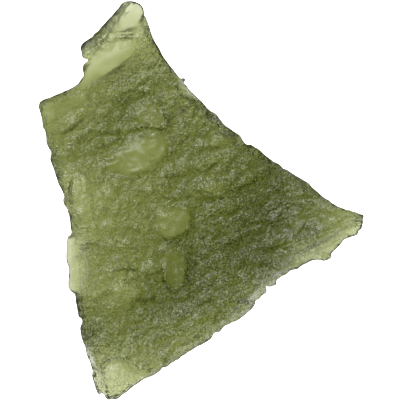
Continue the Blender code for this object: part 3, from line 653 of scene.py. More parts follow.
def top_form(u, v, edge, near):
    """The top's height, and at each place how strong its etched skin is, how frosted it
    is and how darkly it is marked: stain patches, and dark lines that are partly dirt in cracks and partly painted
    shade of steep walls."""
    away = (u - CENTROID[0]) ** 2 + (v - CENTROID[1]) ** 2
    base = BOWL * away
    thick = thickness(u, v)

    # how etched the skin is: smooth bites are 0
    skin = by_place(u, v, ETCHING, 22.0)
    cut = np.zeros(u.shape)

    # clear patches among frosted ones
    patchy = noise2(u / 19, v / 14, 47) + 0.6 * noise2(u / 9, v / 7.5, 48)
    frost = 0.25 * np.clip(patchy, 0, 1) * skin
    thick = thick - 0.35 * patchy * skin * smooth(edge / 12)
    skin = skin * np.clip(1 + 0.4 * patchy, 0.4, 1.2)

    # the lens-shaped bite under the tip, with its crisp wall to the lower right
    d, side = sided(u, v, LENS, 0.5)
    crisp = smooth((side - 0.1) / 0.5) * smooth((u - 98) / 6)
    bowl = smooth(d / (11 - 7.5 * crisp)) * 0.6 + 0.4 * smooth(d / 16)
    floor_at = by_place(u, v, [(130, 47, 2.5), (120, 58, 2.8), (108, 60, 2.75), (90, 66, 2.4), (95, 78, 3.0), (80, 84, 2.8)], 9.0)
    cut = np.maximum(cut, bowl * (thick - floor_at))
    skin = np.minimum(skin, 1 - smooth((d + 1) / 5))
    # the bite at the tip
    d, side = sided(u, v, TIP, 0.4)
    floor_at = 1.35 + 0.9 * np.clip((v - 5) / 28, 0, 1)
    cut = np.maximum(cut, (smooth(d / (4.5 + 4 * smooth((v - 20) / 8))) * 0.75 + 0.25 * smooth(d / 10)) * (thick - floor_at))
    skin = np.minimum(skin, 1 - 0.9 * smooth((d + 1) / 6))

    # the wedge of clear glass at the left, thinning to its edge
    wander = 1.5 * noise2(v / 9, v * 0, 3) + 0.8 * noise2(u / 5, v / 5, 4)
    floor_at = 1.4 + 0.9 * smooth((u - 66 + wander) / 10) + 2.1 * smooth((u - 73 + wander) / 24)
    ledge = smooth((v - 231) / 8) * smooth((300 - v) / 10) * smooth((100 - u) / 8)
    cut = np.maximum(cut, ledge * (thick - floor_at))
    skin = np.minimum(skin, 1 - 0.75 * ledge * smooth((84 - u) / 8))

    # the lower point, bitten clear under an arch, and the glassy facets on its left
    d, side = sided(u, v, ARCH, 0.8)
    wall = by_place(u, v, [(112, 362, 3.5), (126, 360, 3.5), (140, 370, 9.0), (135, 385, 9.0), (104, 380, 3.5)], 7.0)
    floor_at = by_place(u, v, [(112, 372, 2.1), (116, 390, 2.3), (136, 372, 2.9), (128, 384, 2.6)], 8.0)
    cut = np.maximum(cut, (smooth(d / wall) * 0.6 + 0.4 * smooth(d / 12)) * (thick - floor_at))
    streak = noise2(np.arctan2(v - 404, u - 114) * 8, np.hypot(u - 114, v - 404) / 18, 99) * smooth(d / 3)
    cut = cut + 0.06 * streak
    frost = frost + 0.9 * np.clip(streak, 0, 1)
    skin = np.minimum(skin, 1 - 0.65 * smooth((d + 1) / 5))
    d, side = sided(u, v, GLASSY, 1.0)
    cells, _, own = worley(u / 6.5, v / 8.0, 95)
    cut = np.maximum(cut, smooth(d / 5) * (thick - 1.2 - 1.3 * own))
    skin = np.minimum(skin, 1 - 0.4 * smooth(d / 4))

    # chips on the right and lower edges, and the thinner band by the right point
    d, side = sided(u, v, CHIP, 0.6)
    cells, _, own = worley(u / 3.4, v / 3.4, 96)
    cut = np.maximum(cut, smooth(d / 8) * (1.0 + 0.4 * own))
    d, side = sided(u, v, FRACTURE, 0.8)
    cut = np.maximum(cut, 0.5 * smooth(d / 2.4) + 0.5 * smooth(d / 9))
    skin = np.minimum(skin, 1 - 0.5 * smooth(d / 3))
    d, side = sided(u, v, FACETS, 1.2)
    cells, _, own = worley(u / 4.2, v / 4.2, 97)
    cut = np.maximum(cut, smooth(d / 9) * (0.7 + 0.9 * own))
    d, side = sided(u, v, LEDGES, 1.0)
    cut = np.maximum(cut, 0.9 * smooth(d / 9))
    d, side = sided(u, v, BAND, 1.0)
    cut = np.maximum(cut, (0.4 * smooth(d / 4) + 0.6 * smooth(d / 14)) * 1.2)
    skin = np.minimum(skin, 1 - 0.5 * smooth(d / 6))

    # broad hollows, then small ones, one by one
    hollow = np.zeros(u.shape)
    for ring, depth, upper, lower, clear in POOLS:
        d, _ = sided(u, v, ring, 0.5)
        middle = np.mean(ring, axis=0)
        across = (u - middle[0]) * 0.6 + (v - middle[1]) * 0.8
        reach = np.mean(np.abs((np.array(ring) - middle) @ np.array([0.6, 0.8])))
        wall = upper + (lower - upper) * smooth(0.5 + 0.6 * across / reach)
        hollow += depth * (0.8 * smooth((d + 0.3 * wall) / wall / 1.3) + 0.2 * smooth(d / (2.2 * upper)))
        if clear:
            skin = np.minimum(skin, 1 - 0.8 * clear * smooth((d + 1) / 6))
    for cu, cv, long, wide, turn, depth, lean, clear in HOLLOWS:
        a, b = turned(u, v, cu, cv, turn)
        a, b = a / long, b / wide
        wob = 1 + 0.16 * noise2(u / (0.55 * long) + cu, v / (0.55 * long) + cv, 5)
        r = np.hypot(a, b) * wob
        bowl = np.clip(1 - (r / 1.05) ** 2, 0, 1) ** 1.1
        tilt = 1 + lean * np.clip(b, -1, 1)
        if turn > 60:
            tilt = 1 + lean * np.clip(a, -1, 1)
        hollow += depth * bowl * tilt
        if clear:
            skin = np.minimum(skin, 1 - 0.8 * clear * smooth((1.05 - r) * 2))
    for line, fade, steep, depth in FURROWS:
        d, gap, part = signed_line(u, v, line)
        reach = np.where(d < 0, fade, steep)
        ends = smooth(part * 5) * smooth((1 - part) * 5)
        hollow += depth * np.exp(-(gap / reach) ** 2) * (0.25 + 0.75 * ends)

    # dark lines along cracks, partly dirt and partly painted shade at the feet of steep walls, and patches that are
    # cleaner, darker or more frosted
    marks = np.zeros(u.shape)
    shift = 0.9 * noise2(u / 6, v / 6, 93)
    for line, width, dark in CRACK_AND_SHADE_LINES:
        gap, part, _ = along_line(u + shift, v + shift, line)
        ends = smooth(part * 6) * smooth((1 - part) * 6)
        width = width * (0.5 + 0.5 * ends) * (1 + 0.3 * noise2(u / 4, v / 4, 94))
        marks += dark * np.exp(-(gap / width) ** 2) * (0.4 + 0.6 * ends)
        if dark >= 0.22:
            hollow += 0.10 * np.exp(-(gap / (width + 0.6)) ** 2) * ends
    for cu, cv, long, wide, turn, dark, frosted in PATCHES:
        a, b = turned(u, v, cu, cv, turn)
        r = np.hypot(a / long, b / wide) * (1 + 0.25 * noise2(u / 5 + cu, v / 5 + cv, 98))
        fall = np.exp(-(r ** 2) * 1.1)
        marks += dark * fall
        frost += 1.3 * frosted * fall

    # etched dishes, drawn out along the flow lines, in three sizes
    x = (u * math.cos(FLOW) - v * math.sin(FLOW))
    y = (u * math.sin(FLOW) + v * math.cos(FLOW))
    x, y = (
        x + 7 * noise2(u / 21, v / 21, 11) + 3 * noise2(u / 9, v / 9, 13),
        y + 7 * noise2(u / 19 + 5, v / 19, 12) + 3 * noise2(u / 8 + 3, v / 8, 14),
    )
    f1, _, own = worley(x / 16, y / 10.5, 21)
    dishes = -np.exp(-((f1 / 0.42) ** 2)) * (0.3 + own)
    g1, _, own2 = worley(x / 7.5, y / 5.8, 31)
    small = -np.exp(-((g1 / 0.40) ** 2)) * (0.2 + own2) + 0.9 * np.minimum(g1, 0.75) ** 2 * (own2 + 0.3)
    h1, _, own3 = worley(x / 3.6, y / 3.3, 33)
    tiny = np.exp(-((h1 / 0.42) ** 2)) * (own3 - 0.35) + 1.6 * np.minimum(h1, 0.75) ** 2 * (own3 + 0.2)
    folds = fbm(x / 40, y / 15, 41, 3)
    streaks = noise2(x / 15, y / 4.6, 43) + 0.6 * noise2(x / 8, y / 2.7, 44)
    lumps = noise2(u / 8, v / 8, 45) + 0.7 * noise2(u / 4.5, v / 4.5, 46)
    fine_zone = smooth((u - 215) / 50) * smooth((v - 165) / 25) * smooth((285 - v) / 25)
    drawn = 0.35 + 0.65 * smooth((u - 140) / 70) * smooth((330 - v) / 60)
    relief = (
        0.17 * folds
        + 0.15 * dishes * (1 - 0.6 * fine_zone)
        + 0.11 * small
        + 0.08 * (1 + 0.3 * fine_zone) * tiny
        + 0.07 * streaks * drawn
        + 0.10 * lumps * (1 - 0.7 * drawn)
    )

    # the finest grain, one to three tenths of a millimetre across
    coarse = by_place(u, v, GRAIN, 22.0) * (1 + 0.5 * frost)
    grain = 0.6 * noise2(u / 1.9, v / 1.9, 81) + 1.1 * noise2(u / 1.25, v / 1.25, 82)
    relief = relief + GRAIN_HEIGHT * coarse * grain

    flakes = 0.05 * frost * noise2(u / 1.2, v / 1.2, 83)
    top = base + 0.2 + thick - cut - hollow + relief * (0.06 + 0.94 * skin) * smooth(edge / 4 + 0.3) + flakes
    return top, skin, frost, marks


# Rounded hollows and swellings of the underside: centre, half length, half width, turn,
# and how much thinner the glass is there in millimetres (negative where it is thicker).
UNDER = [
    (185, 118, 16, 10, 40, 0.7), (75, 190, 13, 24, 0, 0.5), (205, 190, 18, 12, 30, 0.8),
    (185, 293, 12, 8, 20, 0.5), (210, 312, 15, 9, 30, 0.7), (255, 260, 14, 9, 30, 0.6),
    (110, 133, 16, 8, 15, -0.8), (175, 178, 18, 7, 10, -0.8), (245, 188, 20, 10, 30, -0.5),
    (225, 243, 14, 9, 30, -0.6), (265, 247, 14, 7, 30, -0.5), (190, 264, 8, 18, 0, -1.0),
    (175, 287, 12, 8, 0, -0.6), (147, 300, 16, 9, 20, -0.9), (205, 302, 12, 7, 30, -0.6),
    (93, 328, 10, 10, 0, -0.5), (160, 337, 16, 8, 30, -0.5), (125, 105, 10, 12, 0, -0.5),
    (143, 152, 26, 15, 24, 0.3), (173, 224, 17, 13, 38, -0.6), (148, 114, 14, 10, 20, -0.4),
]


def back_form(u, v, edge):
    away = (u - CENTROID[0]) ** 2 + (v - CENTROID[1]) ** 2
    x = (u * math.cos(FLOW) - v * math.sin(FLOW)) + 6 * noise2(u / 27, v / 27, 61)
    y = (u * math.sin(FLOW) + v * math.cos(FLOW))
    f1, _, own = worley(x / 24, y / 15, 62)
    g1, _, own2 = worley(x / 11, y / 8, 63)
    relief = 0.40 * fbm(x / 44, y / 20, 64, 3)
    relief += 0.6 * (np.exp(-((f1 / 0.5) ** 2)) - 0.4) * (own - 0.2)
    relief += 0.35 * (np.exp(-((g1 / 0.5) ** 2)) - 0.4) * (own2 - 0.3)
    for cu, cv, long, wide, turn, thinner in UNDER:
        a, b = turned(u, v, cu, cv, turn)
        relief += 0.8 * thinner * np.exp(-((a / long) ** 2) - (b / wide) ** 2)
    back = BOWL * away + 0.15 + relief * smooth(edge / 26)
    return 0.1 * np.log1p(np.exp(np.clip(back / 0.1, -30, 60))) + 0.01


def hexagons(spacing, margin):
    """Evenly spaced points inside the outline."""
    rows = []
    low, high = RING.min(axis=0), RING.max(axis=0)
    v, k = low[1], 0
    while v < high[1]:
        u = np.arange(low[0] + (spacing / 2 if k % 2 else 0), high[0], spacing)
        rows.append(np.column_stack([u, np.full(len(u), v)]))
        v += spacing * math.sqrt(3) / 2
        k += 1
    points = np.vstack(rows)
    points = points[inside(points[:, 0], points[:, 1], RING[::3]) > 0]
    gap, near = to_edge(points)
    keep = gap > margin(near)
    return points[keep]


def sheet(spacing, widths, shares):
    """One face's points and triangles: the outline, rings close inside it, then a fill."""
    inner = widths[:, None] * np.array(shares)[None, :]
    groups = [RING]
    for k in range(inner.shape[1]):
        ring = RING + INWARD * inner[:, k : k + 1]
        keep = np.ones(len(ring), bool)
        if inner[:, k].max() > spacing * 1.5:
            step = max(1, int(round(spacing / FINE)))
            keep[:] = False
            keep[::step] = True
        ring = ring[keep]
        gap, _ = to_edge(ring)
        ok = (gap > 0.8 * inner[keep, k]) & (inside(ring[:, 0], ring[:, 1], RING[::2]) > 0)
        groups.append(ring[ok])
    fill = hexagons(spacing, lambda near: np.maximum(inner[near, -1] + 0.6 * spacing, 0.8 * spacing))
    groups.append(fill)
    points = np.vstack(groups)
    ring_face = [list(range(len(RING)))]
    out = delaunay_2d_cdt([Vector(p) for p in points.tolist()], [], ring_face, 1, 1e-5)
    made = np.array([tuple(p) for p in out[0]])
    faces = np.array(out[2], int)
    return made, faces


def order_ring(points):
    """The numbers of the made points that are the outline's, in its order."""
    tree = mathutils.kdtree.KDTree(len(points))
    for k, (u, v) in enumerate(points):
        tree.insert((u, v, 0), k)
    tree.balance()
    return [tree.find((u, v, 0))[1] for u, v in RING]


# How the skin's darkening follows its shape: the stain of level skin, then how much painted
# shade is added in narrow pits, in wider pits, on slopes that lie in the lee of the lower right
# (away from the light) and in the finest pits.
STAIN_AND_SHADE = (0.40, 0.26, 0.12, 0.12, 0.12)
FLECKS = 0.26
SOFT = 0.58
LEE = (-0.62, 0.78)


def stain_and_shade(points, faces, on_top, skin, coarse, rim):
    """How dark the skin is at each point: a stain and random flecks, with painted shade in pits and on lee slopes, plus
    the rim's painted shade and the marks.
    """
    xyz = points * (0.1, -0.1, 1)
    ends = np.vstack([faces[:, [0, 1]], faces[:, [1, 2]], faces[:, [2, 0]]])
    ends = np.vstack([ends, ends[:, ::-1]])
    count = np.bincount(ends[:, 0], minlength=len(xyz))

    def spread(value, times):
        for _ in range(times):
            value = 0.5 * value + 0.5 * np.bincount(ends[:, 0], value[ends[:, 1]], len(xyz)) / count
        return value

    levels = [spread(xyz[:, 2], 1), spread(xyz[:, 2], 4), spread(xyz[:, 2], 14)]
    narrow, wide = levels[1] - levels[0], levels[2] - levels[1]
    a, b, c = (np.column_stack([xyz[:, :2], levels[0]])[faces[:, k]] for k in range(3))
    cross = np.cross(b - a, c - a)
    cross[cross[:, 2] < 0] *= -1
    normal = np.zeros_like(xyz)
    for k in range(3):
        np.add.at(normal, faces[:, k], cross)
    # how far each slope faces away from the light at the lower right; it darkens the colour as painted shade
    lee = (normal[:, 0] * LEE[0] + normal[:, 1] * LEE[1]) / np.maximum(normal[:, 2], 1e-12)
    there = on_top * (skin > 0.5) > 0
    dirt_and_shade = STAIN_AND_SHADE[0] * (0.4 + 0.6 * coarse)
    finest = levels[0] - xyz[:, 2]
    # painted shade: narrow, wide and finest pits and lee slopes are darkened, as shade falls there
    for amount, part, much in zip(STAIN_AND_SHADE[1:], (narrow, wide, lee, finest), (np.minimum(coarse, 1.1), 1.0, 1.0, coarse)):
        usual = 1.5 * np.median(np.abs(part[there]))
        print("usual", usual, part[there].std())
        dirt_and_shade = dirt_and_shade + much * amount * 1.6 * np.tanh(part / usual / 1.6)
    flecks = 0.25 - _cells((points[:, 0] * 40).astype(int), (points[:, 1] * 40).astype(int), 75) ** 3
    dirt_and_shade = dirt_and_shade + coarse * FLECKS * 3.5 * flecks
    dirt_and_shade = np.where(dirt_and_shade > 0, SOFT * np.tanh(dirt_and_shade / SOFT), dirt_and_shade)
    return (dirt_and_shade * (0.1 + 0.9 * skin) + rim) * on_top


def wall_bites(near, down, height):
    """How far the rim's wall lies inside the outline, below its widest line."""
    arc = np.cumsum(np.hypot(*(np.roll(RING, -1, axis=0) - RING).T))
    even = sum(np.roll(RING, k, axis=0) for k in range(-6, 7)) / 13
    even = ((even - RING) * INWARD).sum(axis=1)
    at, high = arc[near], height * 10
    f1, _, own = worley(at / 9 + 0.4 * noise2(at / 7, high / 7, 83), high / 8, 81)
    g1, _, own2 = worley(at / 4.2, high / 4, 82)
    bite = 0.9 + 0.9 * noise2(at / 26, high / 17, 84)
    bite += 2.2 * np.exp(-((f1 / 0.45) ** 2)) * (0.3 + own) + 0.9 * np.exp(-((g1 / 0.45) ** 2)) * (0.3 + own2)
    bite = bite * smooth(5 * down) + 0.9 * even[near] * smooth(2.5 * down)
    bite = bite * smooth(np.minimum(at, arc[-1] - at) / 8)
    return np.clip(bite, 0, 3.4) * (1 - 0.65 * smooth(4 * (down - 0.75)))


def stone_mesh():
    top_xy, top_faces = sheet(FINE, RIM[:, 0], (0.04, 0.12, 0.24, 0.4, 0.6, 0.8, 1.0))
    low_xy, low_faces = sheet(COARSE, RIM[:, 2], (0.008, 0.03, 0.06, 0.11, 0.19, 0.3, 0.42, 0.58, 0.8, 1.0))
    top_ring, low_ring = order_ring(top_xy), order_ring(low_xy)

    def faces_up(points, faces):
        a, b, c = (points[faces[:, k]] for k in range(3))
        area = (b[:, 0] - a[:, 0]) * (c[:, 1] - a[:, 1]) - (b[:, 1] - a[:, 1]) * (c[:, 0] - a[:, 0])
        return np.where(area[:, None] < 0, faces, faces[:, ::-1])

    top_faces = faces_up(top_xy, top_faces)          # v runs down, so this faces +Z
    low_faces = faces_up(low_xy, low_faces)[:, ::-1]

    gap_t, near_t = to_edge(top_xy)
    gap_t[top_ring] = 0
    gap_b, near_b = to_edge(low_xy)
    gap_b[low_ring] = 0
    ru, rv = RING[:, 0], RING[:, 1]
    far = np.full(len(RING), 20.0)
    ring_top = top_form(ru, rv, far, np.arange(len(RING)))[0]
    ring_low = back_form(ru, rv, far)
    n = len(RING)
    wander = 1 + 0.5 * noise2(RING_AT * 60, RING_AT * 0, 71) + 0.3 * noise2(RING_AT * 190, RING_AT * 0, 72)
    widest = np.maximum(ring_top - RIM[:, 1] * wander, ring_low + 0.2 * (ring_top - ring_low))

    z_t, skin, frost, marks = top_form(top_xy[:, 0], top_xy[:, 1], gap_t, near_t)
    least = back_form(top_xy[:, 0], top_xy[:, 1], gap_t) + 0.55
    z_t = least + 0.25 * np.logaddexp(0, (z_t - least) / 0.25)
    z_t = TALLEST - 0.1 * np.logaddexp(0, (TALLEST - z_t) / 0.1)
    w = np.clip(gap_t / RIM[near_t, 0], 0, 1)
    w = w * (1.25 - 0.25 * w)
    z_t = widest[near_t] * (1 - w) + z_t * w
    z_b = back_form(low_xy[:, 0], low_xy[:, 1], gap_b)
    w = profile(gap_b / RIM[near_b, 2], 2.0)
    z_b = widest[near_b] * (1 - w) + z_b * w
    z_b[low_ring] = widest
    z_t[top_ring] = widest
    wall = (gap_b > 0) & (gap_b < 1.02 * RIM[near_b, 2])
    tall = np.clip((widest[near_b] - 0.6) / 3.2, 0.15, 1)
    bites = np.where(wall, wall_bites(near_b, w, z_b) * tall, 0)
    low_xy = low_xy + INWARD[near_b] * bites[:, None]
    wall = wall * smooth(5 * w)

    nt = len(top_xy)
    points = np.vstack([np.column_stack([top_xy, z_t]), np.column_stack([low_xy, z_b])])
    # the outline's points are shared by both faces
    same = np.arange(len(points))
    same[nt + np.array(low_ring)] = top_ring
    faces = np.vstack([top_faces, low_faces + nt])
    faces = same[faces]
    ok = (faces[:, 0] != faces[:, 1]) & (faces[:, 1] != faces[:, 2]) & (faces[:, 0] != faces[:, 2])
    faces = faces[ok]
    used, index = np.unique(faces, return_inverse=True)
    faces = index.reshape(-1, 3)
    etched = np.concatenate([skin, 0.15 + 0.75 * wall])[used]
    # painted shade: a ragged, flaky dark band along the rim, standing in for the shade of its steep edge
    ragged = 1 + 0.5 * noise2(top_xy[:, 0] / 5, top_xy[:, 1] / 5, 73)
    edging = RIM[near_t, 3] * smooth(1.5 * (1 - gap_t / (RIM[near_t, 4] * ragged)))
    on_top = np.concatenate([np.ones(len(top_xy)), np.zeros(len(low_xy))])[used]
    flaky = 0.65 + 0.7 * worley(top_xy[:, 0] / 2.6, top_xy[:, 1] / 2.6, 74)[2]
    # painted shade: a thin dark line along the outline itself
    outline = 0.55 * np.exp(-((gap_t / 1.5) ** 2)) * (0.6 + 0.8 * noise2(top_xy[:, 0] / 6, top_xy[:, 1] / 6, 76) ** 2)
    edging = np.concatenate([0.68 * edging * flaky + marks + outline, np.zeros(len(low_xy))])[used]
    side = np.concatenate([np.zeros(len(top_xy)), wall])[used]
    frost = np.concatenate([frost, 0.04 * wall])[used]
    points = points[used]
    coarse = by_place(points[:, 0], points[:, 1], GRAIN, 22.0)
    dirt_and_shade = stain_and_shade(points, faces, on_top, etched, coarse, edging)

    xyz = np.column_stack([
        (points[:, 0] - MIDDLE[0]) * UNIT, (MIDDLE[1] - points[:, 1]) * UNIT, points[:, 2] / 1000
    ])
    return xyz, faces, etched, dirt_and_shade, coarse * etched * np.maximum(on_top, 0.3 * side), frost


def stone_object():
    xyz, faces, etched, dirt_and_shade, gritty, frost = stone_mesh()
    # the CAD box is the stone's own, so the fine surface is settled into it
    low, high = xyz.min(axis=0), xyz.max(axis=0)
    for k in range(3):
        lo, hi = CAD_LOW[k], CAD_HIGH[k]
        xyz[:, k] = lo + (xyz[:, k] - low[k]) * (hi - lo) / (high[k] - low[k])
    mesh = bpy.data.meshes.new("moldavite_stone")
    mesh.from_pydata(xyz.tolist(), [], faces.tolist())
    mesh.update()
    # the second attribute holds stain plus painted shade: pits, lee slopes, rims and wall feet are darkened as if
    # shaded
    for name, values in (("etched", etched), ("grime_and_shade", dirt_and_shade), ("gritty", gritty), ("frost", frost)):
        layer = mesh.attributes.new(name, "FLOAT", "POINT")
        layer.data.foreach_set("value", values.astype(np.float32))
    mesh.shade_smooth()
    stone = bpy.data.objects.new("moldavite_stone", mesh)
    bpy.context.scene.collection.objects.link(stone)
    print("triangles", len(faces), "heights", low[2], high[2])
    return stone


# ------------------------------------------------------------------ glass
GLASS_TINT = (0.59, 0.62, 0.30, 1)
GLASS_DENSITY = 1045.0
BUMP = 0.00006
SPECK = 3.6
SPARKLE = 6.0


def glass():
    made = bpy.data.materials.new("moldavite_glass")
    made.use_nodes = True
    tree = made.node_tree
    nodes, links = tree.nodes, tree.links
    shader = nodes["Principled BSDF"]
    out = nodes["Material Output"]
    shader.inputs["Transmission Weight"].default_value = 1.0
    shader.inputs["IOR"].default_value = 1.49
    inside_ = nodes.new("ShaderNodeVolumeAbsorption")
    inside_.inputs["Color"].default_value = GLASS_TINT
    inside_.inputs["Density"].default_value = GLASS_DENSITY
    links.new(inside_.outputs["Volume"], out.inputs["Volume"])

    def math_node(op, a, b=None, c=None):
        node = nodes.new("ShaderNodeMath")
        node.operation = op
        for k, value in enumerate((a, b, c)):
            if value is None:
                continue
            if isinstance(value, (int, float)):
                node.inputs[k].default_value = value
            else:
                links.new(value, node.inputs[k])
        return node.outputs[0]

    where = nodes.new("ShaderNodeTexCoord").outputs["Object"]
    skin = nodes.new("ShaderNodeAttribute")
    skin.attribute_name = "etched"
    skin = skin.outputs["Fac"]
    soot_and_shade = nodes.new("ShaderNodeAttribute")
    soot_and_shade.attribute_name = "grime_and_shade"
    soot_and_shade = soot_and_shade.outputs["Fac"]
    gritty = nodes.new("ShaderNodeAttribute")
    gritty.attribute_name = "gritty"
    gritty = gritty.outputs["Fac"]

    frost = nodes.new("ShaderNodeAttribute")
    frost.attribute_name = "frost"
    frost = frost.outputs["Fac"]

    def grain(scale, detail, rough=0.55):
        node = nodes.new("ShaderNodeTexNoise")
        links.new(where, node.inputs["Vector"])
        node.inputs["Scale"].default_value = scale
        node.inputs["Detail"].default_value = detail
        node.inputs["Roughness"].default_value = rough
        return node.outputs["Fac"]

    def pits(scale, wobble):
        node = nodes.new("ShaderNodeTexVoronoi")
        node.feature = "F1"
        shift = nodes.new("ShaderNodeVectorMath")
        shift.operation = "MULTIPLY_ADD"
        cloud = nodes.new("ShaderNodeTexNoise")
        links.new(where, cloud.inputs["Vector"])
        cloud.inputs["Scale"].default_value = scale * 0.6
        links.new(cloud.outputs["Color"], shift.inputs[0])
        shift.inputs[1].default_value = (wobble / scale,) * 3
        links.new(where, shift.inputs[2])
        links.new(shift.outputs[0], node.inputs["Vector"])
        node.inputs["Scale"].default_value = scale
        return node.outputs["Distance"], node.outputs["Color"]

    fine = grain(7000, 1)
    mid = grain(900, 4)
    cells, _ = pits(5200, 0.8)
    _, grains = pits(5600, 1.5)
    split = nodes.new("ShaderNodeSeparateColor")
    links.new(grains, split.inputs[0])
    grains = split.outputs[0]
    frosted = nodes.new("ShaderNodeMapRange")
    frosted.interpolation_type = "SMOOTHSTEP"
    links.new(skin, frosted.inputs["Value"])
    for name, value in (("From Min", 0.0), ("From Max", 0.4), ("To Min", 0.34), ("To Max", 0.32)):
        frosted.inputs[name].default_value = value
    rough = math_node("MULTIPLY_ADD", math_node("MULTIPLY", skin, mid), 0.10, frosted.outputs[0])
    rough = math_node("MULTIPLY_ADD", frost, 0.15, rough)
    haze = nodes.new("ShaderNodeClamp")
    _, glints = pits(4300, 1.2)
    parts = nodes.new("ShaderNodeSeparateColor")
    links.new(glints, parts.inputs[0])
    glints = math_node("MAXIMUM", math_node("SUBTRACT", parts.outputs[0], 0.62), 0.0)
    glints = math_node("MULTIPLY", math_node("MULTIPLY", glints, SPARKLE), gritty)
    smoky = math_node("MULTIPLY", frost, math_node("MULTIPLY_ADD", grains, 1.3, 0.05))
    links.new(math_node("ADD", smoky, glints), haze.inputs["Value"])
    links.new(haze.outputs[0], shader.inputs["Coat Weight"])
    shader.inputs["Coat Roughness"].default_value = 0.5
    shader.inputs["Coat IOR"].default_value = 1.7
    links.new(rough, shader.inputs["Roughness"])
    bump = nodes.new("ShaderNodeBump")
    bump.inputs["Distance"].default_value = BUMP
    bump.inputs["Strength"].default_value = 1.0
    height = math_node("MULTIPLY_ADD", cells, 1.0, math_node("MULTIPLY", fine, 0.6))
    height = math_node("MULTIPLY", height, math_node("MULTIPLY_ADD", skin, 0.9, 0.1))
    links.new(height, bump.inputs["Height"])
    links.new(bump.outputs["Normal"], shader.inputs["Normal"])

    # the skin is darker by the stain and painted shade carried in from the mesh (pits, lee slopes, rims, wall feet),
    # and with fine grains all over
    shiny = math_node("MAXIMUM", math_node("SUBTRACT", grains, 0.55), 0.0)
    grit = math_node("MULTIPLY", math_node("MULTIPLY", math_node("SUBTRACT", 0.07, shiny), SPECK), gritty)
    dark = nodes.new("ShaderNodeClamp")
    dark.inputs["Max"].default_value = 1.3
    links.new(math_node("ADD", soot_and_shade, grit), dark.inputs["Value"])
    clear = math_node("MULTIPLY_ADD", dark.outputs[0], -0.68, 1.0)
    dark = math_node("MULTIPLY_ADD", math_node("MULTIPLY", clear, clear), -1.0, 1.0)
    # the dark colour that both the stain and the painted shade mix towards
    tint = nodes.new("ShaderNodeMix")
    tint.data_type = "RGBA"
    links.new(dark, tint.inputs["Factor"])
    tint.inputs[6].default_value = (0.97, 0.98, 0.95, 1)
    tint.inputs[7].default_value = (0.055, 0.075, 0.0, 1)
    links.new(tint.outputs[2], shader.inputs["Base Color"])
    return made


stone = stone_object()
stone.data.materials.append(glass())
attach(stone, "root")
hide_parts("moldavite")

# ------------------------------------------------------------------ floor, light, camera
def flat_material(name, color, rough, glow):
    made = bpy.data.materials.new(name)
    made.use_nodes = True
    shader = made.node_tree.nodes["Principled BSDF"]
    shader.inputs["Base Color"].default_value = (*color, 1)
    shader.inputs["Roughness"].default_value = rough
    shader.inputs["Specular IOR Level"].default_value = 0.0
    shader.inputs["Emission Color"].default_value = (1, 1, 1, 1)
    shader.inputs["Emission Strength"].default_value = glow
    made.cycles.emission_sampling = "NONE"
    return made


FLOOR_GLOW = 1.35
LAMP_SCALE = 1.0
LAMPS = [
    ("soft_key", (0.34, -0.46, 0.48), 0.36, 5.0),
]
bpy.ops.mesh.primitive_circle_add(vertices=96, radius=2.0, fill_type="NGON", location=(0, 0, -0.00005))
floor = bpy.context.object
floor.name = "studio_floor"
floor.data.materials.append(flat_material("floor_paper", (0.30, 0.30, 0.298), 0.9, FLOOR_GLOW))


def world():
    """A pale tent: brightest low on one side, dim towards the horizon."""
    made = bpy.data.worlds.new("soft_studio")
    bpy.context.scene.world = made
    made.use_nodes = True
    nodes, links = made.node_tree.nodes, made.node_tree.links
    back = nodes["Background"]
    coord = nodes.new("ShaderNodeTexCoord").outputs["Generated"]

    def ramp(value, stops):
        node = nodes.new("ShaderNodeValToRGB")
        links.new(value, node.inputs["Fac"])
        steps = node.color_ramp.elements
        steps[0].position, steps[-1].position = stops[0][0], stops[-1][0]
        steps[0].color = (stops[0][1], stops[0][1], 0.95 * stops[0][1], 1)
        steps[-1].color = (stops[-1][1], stops[-1][1], 0.95 * stops[-1][1], 1)
        for at, level in stops[1:-1]:
            steps.new(at).color = (level, level, 0.95 * level, 1)
        return node.outputs["Color"]

    towards = nodes.new("ShaderNodeVectorMath")
    towards.operation = "DOT_PRODUCT"
    links.new(coord, towards.inputs[0])
    towards.inputs[1].default_value = Vector(SKY_BRIGHT_SIDE).normalized()
    split = nodes.new("ShaderNodeSeparateXYZ")
    links.new(coord, split.inputs[0])
    side = ramp(towards.outputs["Value"], SKY_BY_SIDE)
    rise = ramp(split.outputs["Z"], SKY_BY_HEIGHT)
    both = nodes.new("ShaderNodeMix")
    both.data_type = "RGBA"
    both.blend_type = "MULTIPLY"
    both.inputs["Factor"].default_value = 1.0
    links.new(side, both.inputs[6])
    links.new(rise, both.inputs[7])
    links.new(both.outputs[2], back.inputs["Color"])
    back.inputs["Strength"].default_value = SKY_STRENGTH


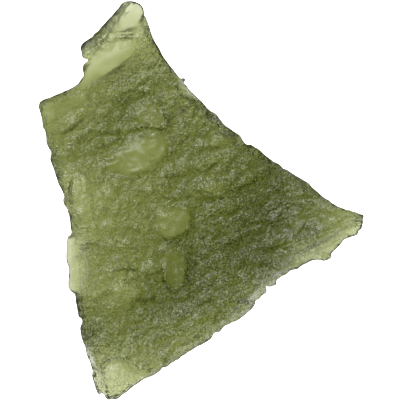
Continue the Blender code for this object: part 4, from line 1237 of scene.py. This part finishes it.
SKY_BRIGHT_SIDE = (0.45, -0.62, 0.64)
SKY_BY_SIDE = [(0.0, 0.08), (0.35, 0.16), (0.62, 0.26), (0.85, 0.8), (1.0, 1.2)]
SKY_BY_HEIGHT = [(0.0, 0.3), (0.2, 0.9), (0.4, 1.0), (1.0, 1.0)]
SKY_STRENGTH = 1.8
world()


def area(name, at, size, power):
    lamp = bpy.data.lights.new(name, "AREA")
    lamp.shape = "DISK"
    lamp.size = size
    lamp.energy = power
    obj = bpy.data.objects.new(name, lamp)
    obj.location = at
    obj.rotation_mode = "QUATERNION"
    obj.rotation_quaternion = (-Vector(at)).to_track_quat("-Z", "Y")
    bpy.context.scene.collection.objects.link(obj)
    return obj


for name, at, size, level in LAMPS:
    lamp = area(name, at, size, level * LAMP_SCALE * math.pi**2 * (size / 2) ** 2)
    lamp.visible_diffuse = False

camera = bpy.data.cameras.new("camera")
camera.lens = 300
camera.sensor_width = 36
camera.sensor_fit = "HORIZONTAL"
view = bpy.data.objects.new("camera", camera)
bpy.context.scene.collection.objects.link(view)
bpy.context.scene.camera = view
# the photograph's frame is 40 mm across at the stone's mid height
MID_HEIGHT = 0.0026
distance = 0.040 / (camera.sensor_width / camera.lens)
view.location = ((200 - MIDDLE[0]) * UNIT, (MIDDLE[1] - 200) * UNIT, MID_HEIGHT + distance)
view.rotation_mode = "XYZ"
view.rotation_euler = (0, 0, 0)
camera.clip_start, camera.clip_end = 0.01, 10

scene = bpy.context.scene
scene.view_settings.view_transform = "Standard"
scene.view_settings.look = "None"
scene.view_settings.exposure = 0.0
scene.cycles.pixel_filter_type = "BLACKMAN_HARRIS"
scene.cycles.filter_width = 1.0
scene.cycles.max_bounces = 24
scene.cycles.transmission_bounces = 20
scene.cycles.diffuse_bounces = 6
scene.cycles.glossy_bounces = 8
scene.cycles.caustics_refractive = False
scene.cycles.caustics_reflective = False
scene.cycles.use_denoising = True
scene.cycles.denoiser = "OPENIMAGEDENOISE"
scene.cycles.denoising_input_passes = "RGB_ALBEDO_NORMAL"
scene.cycles.denoising_prefilter = "ACCURATE"
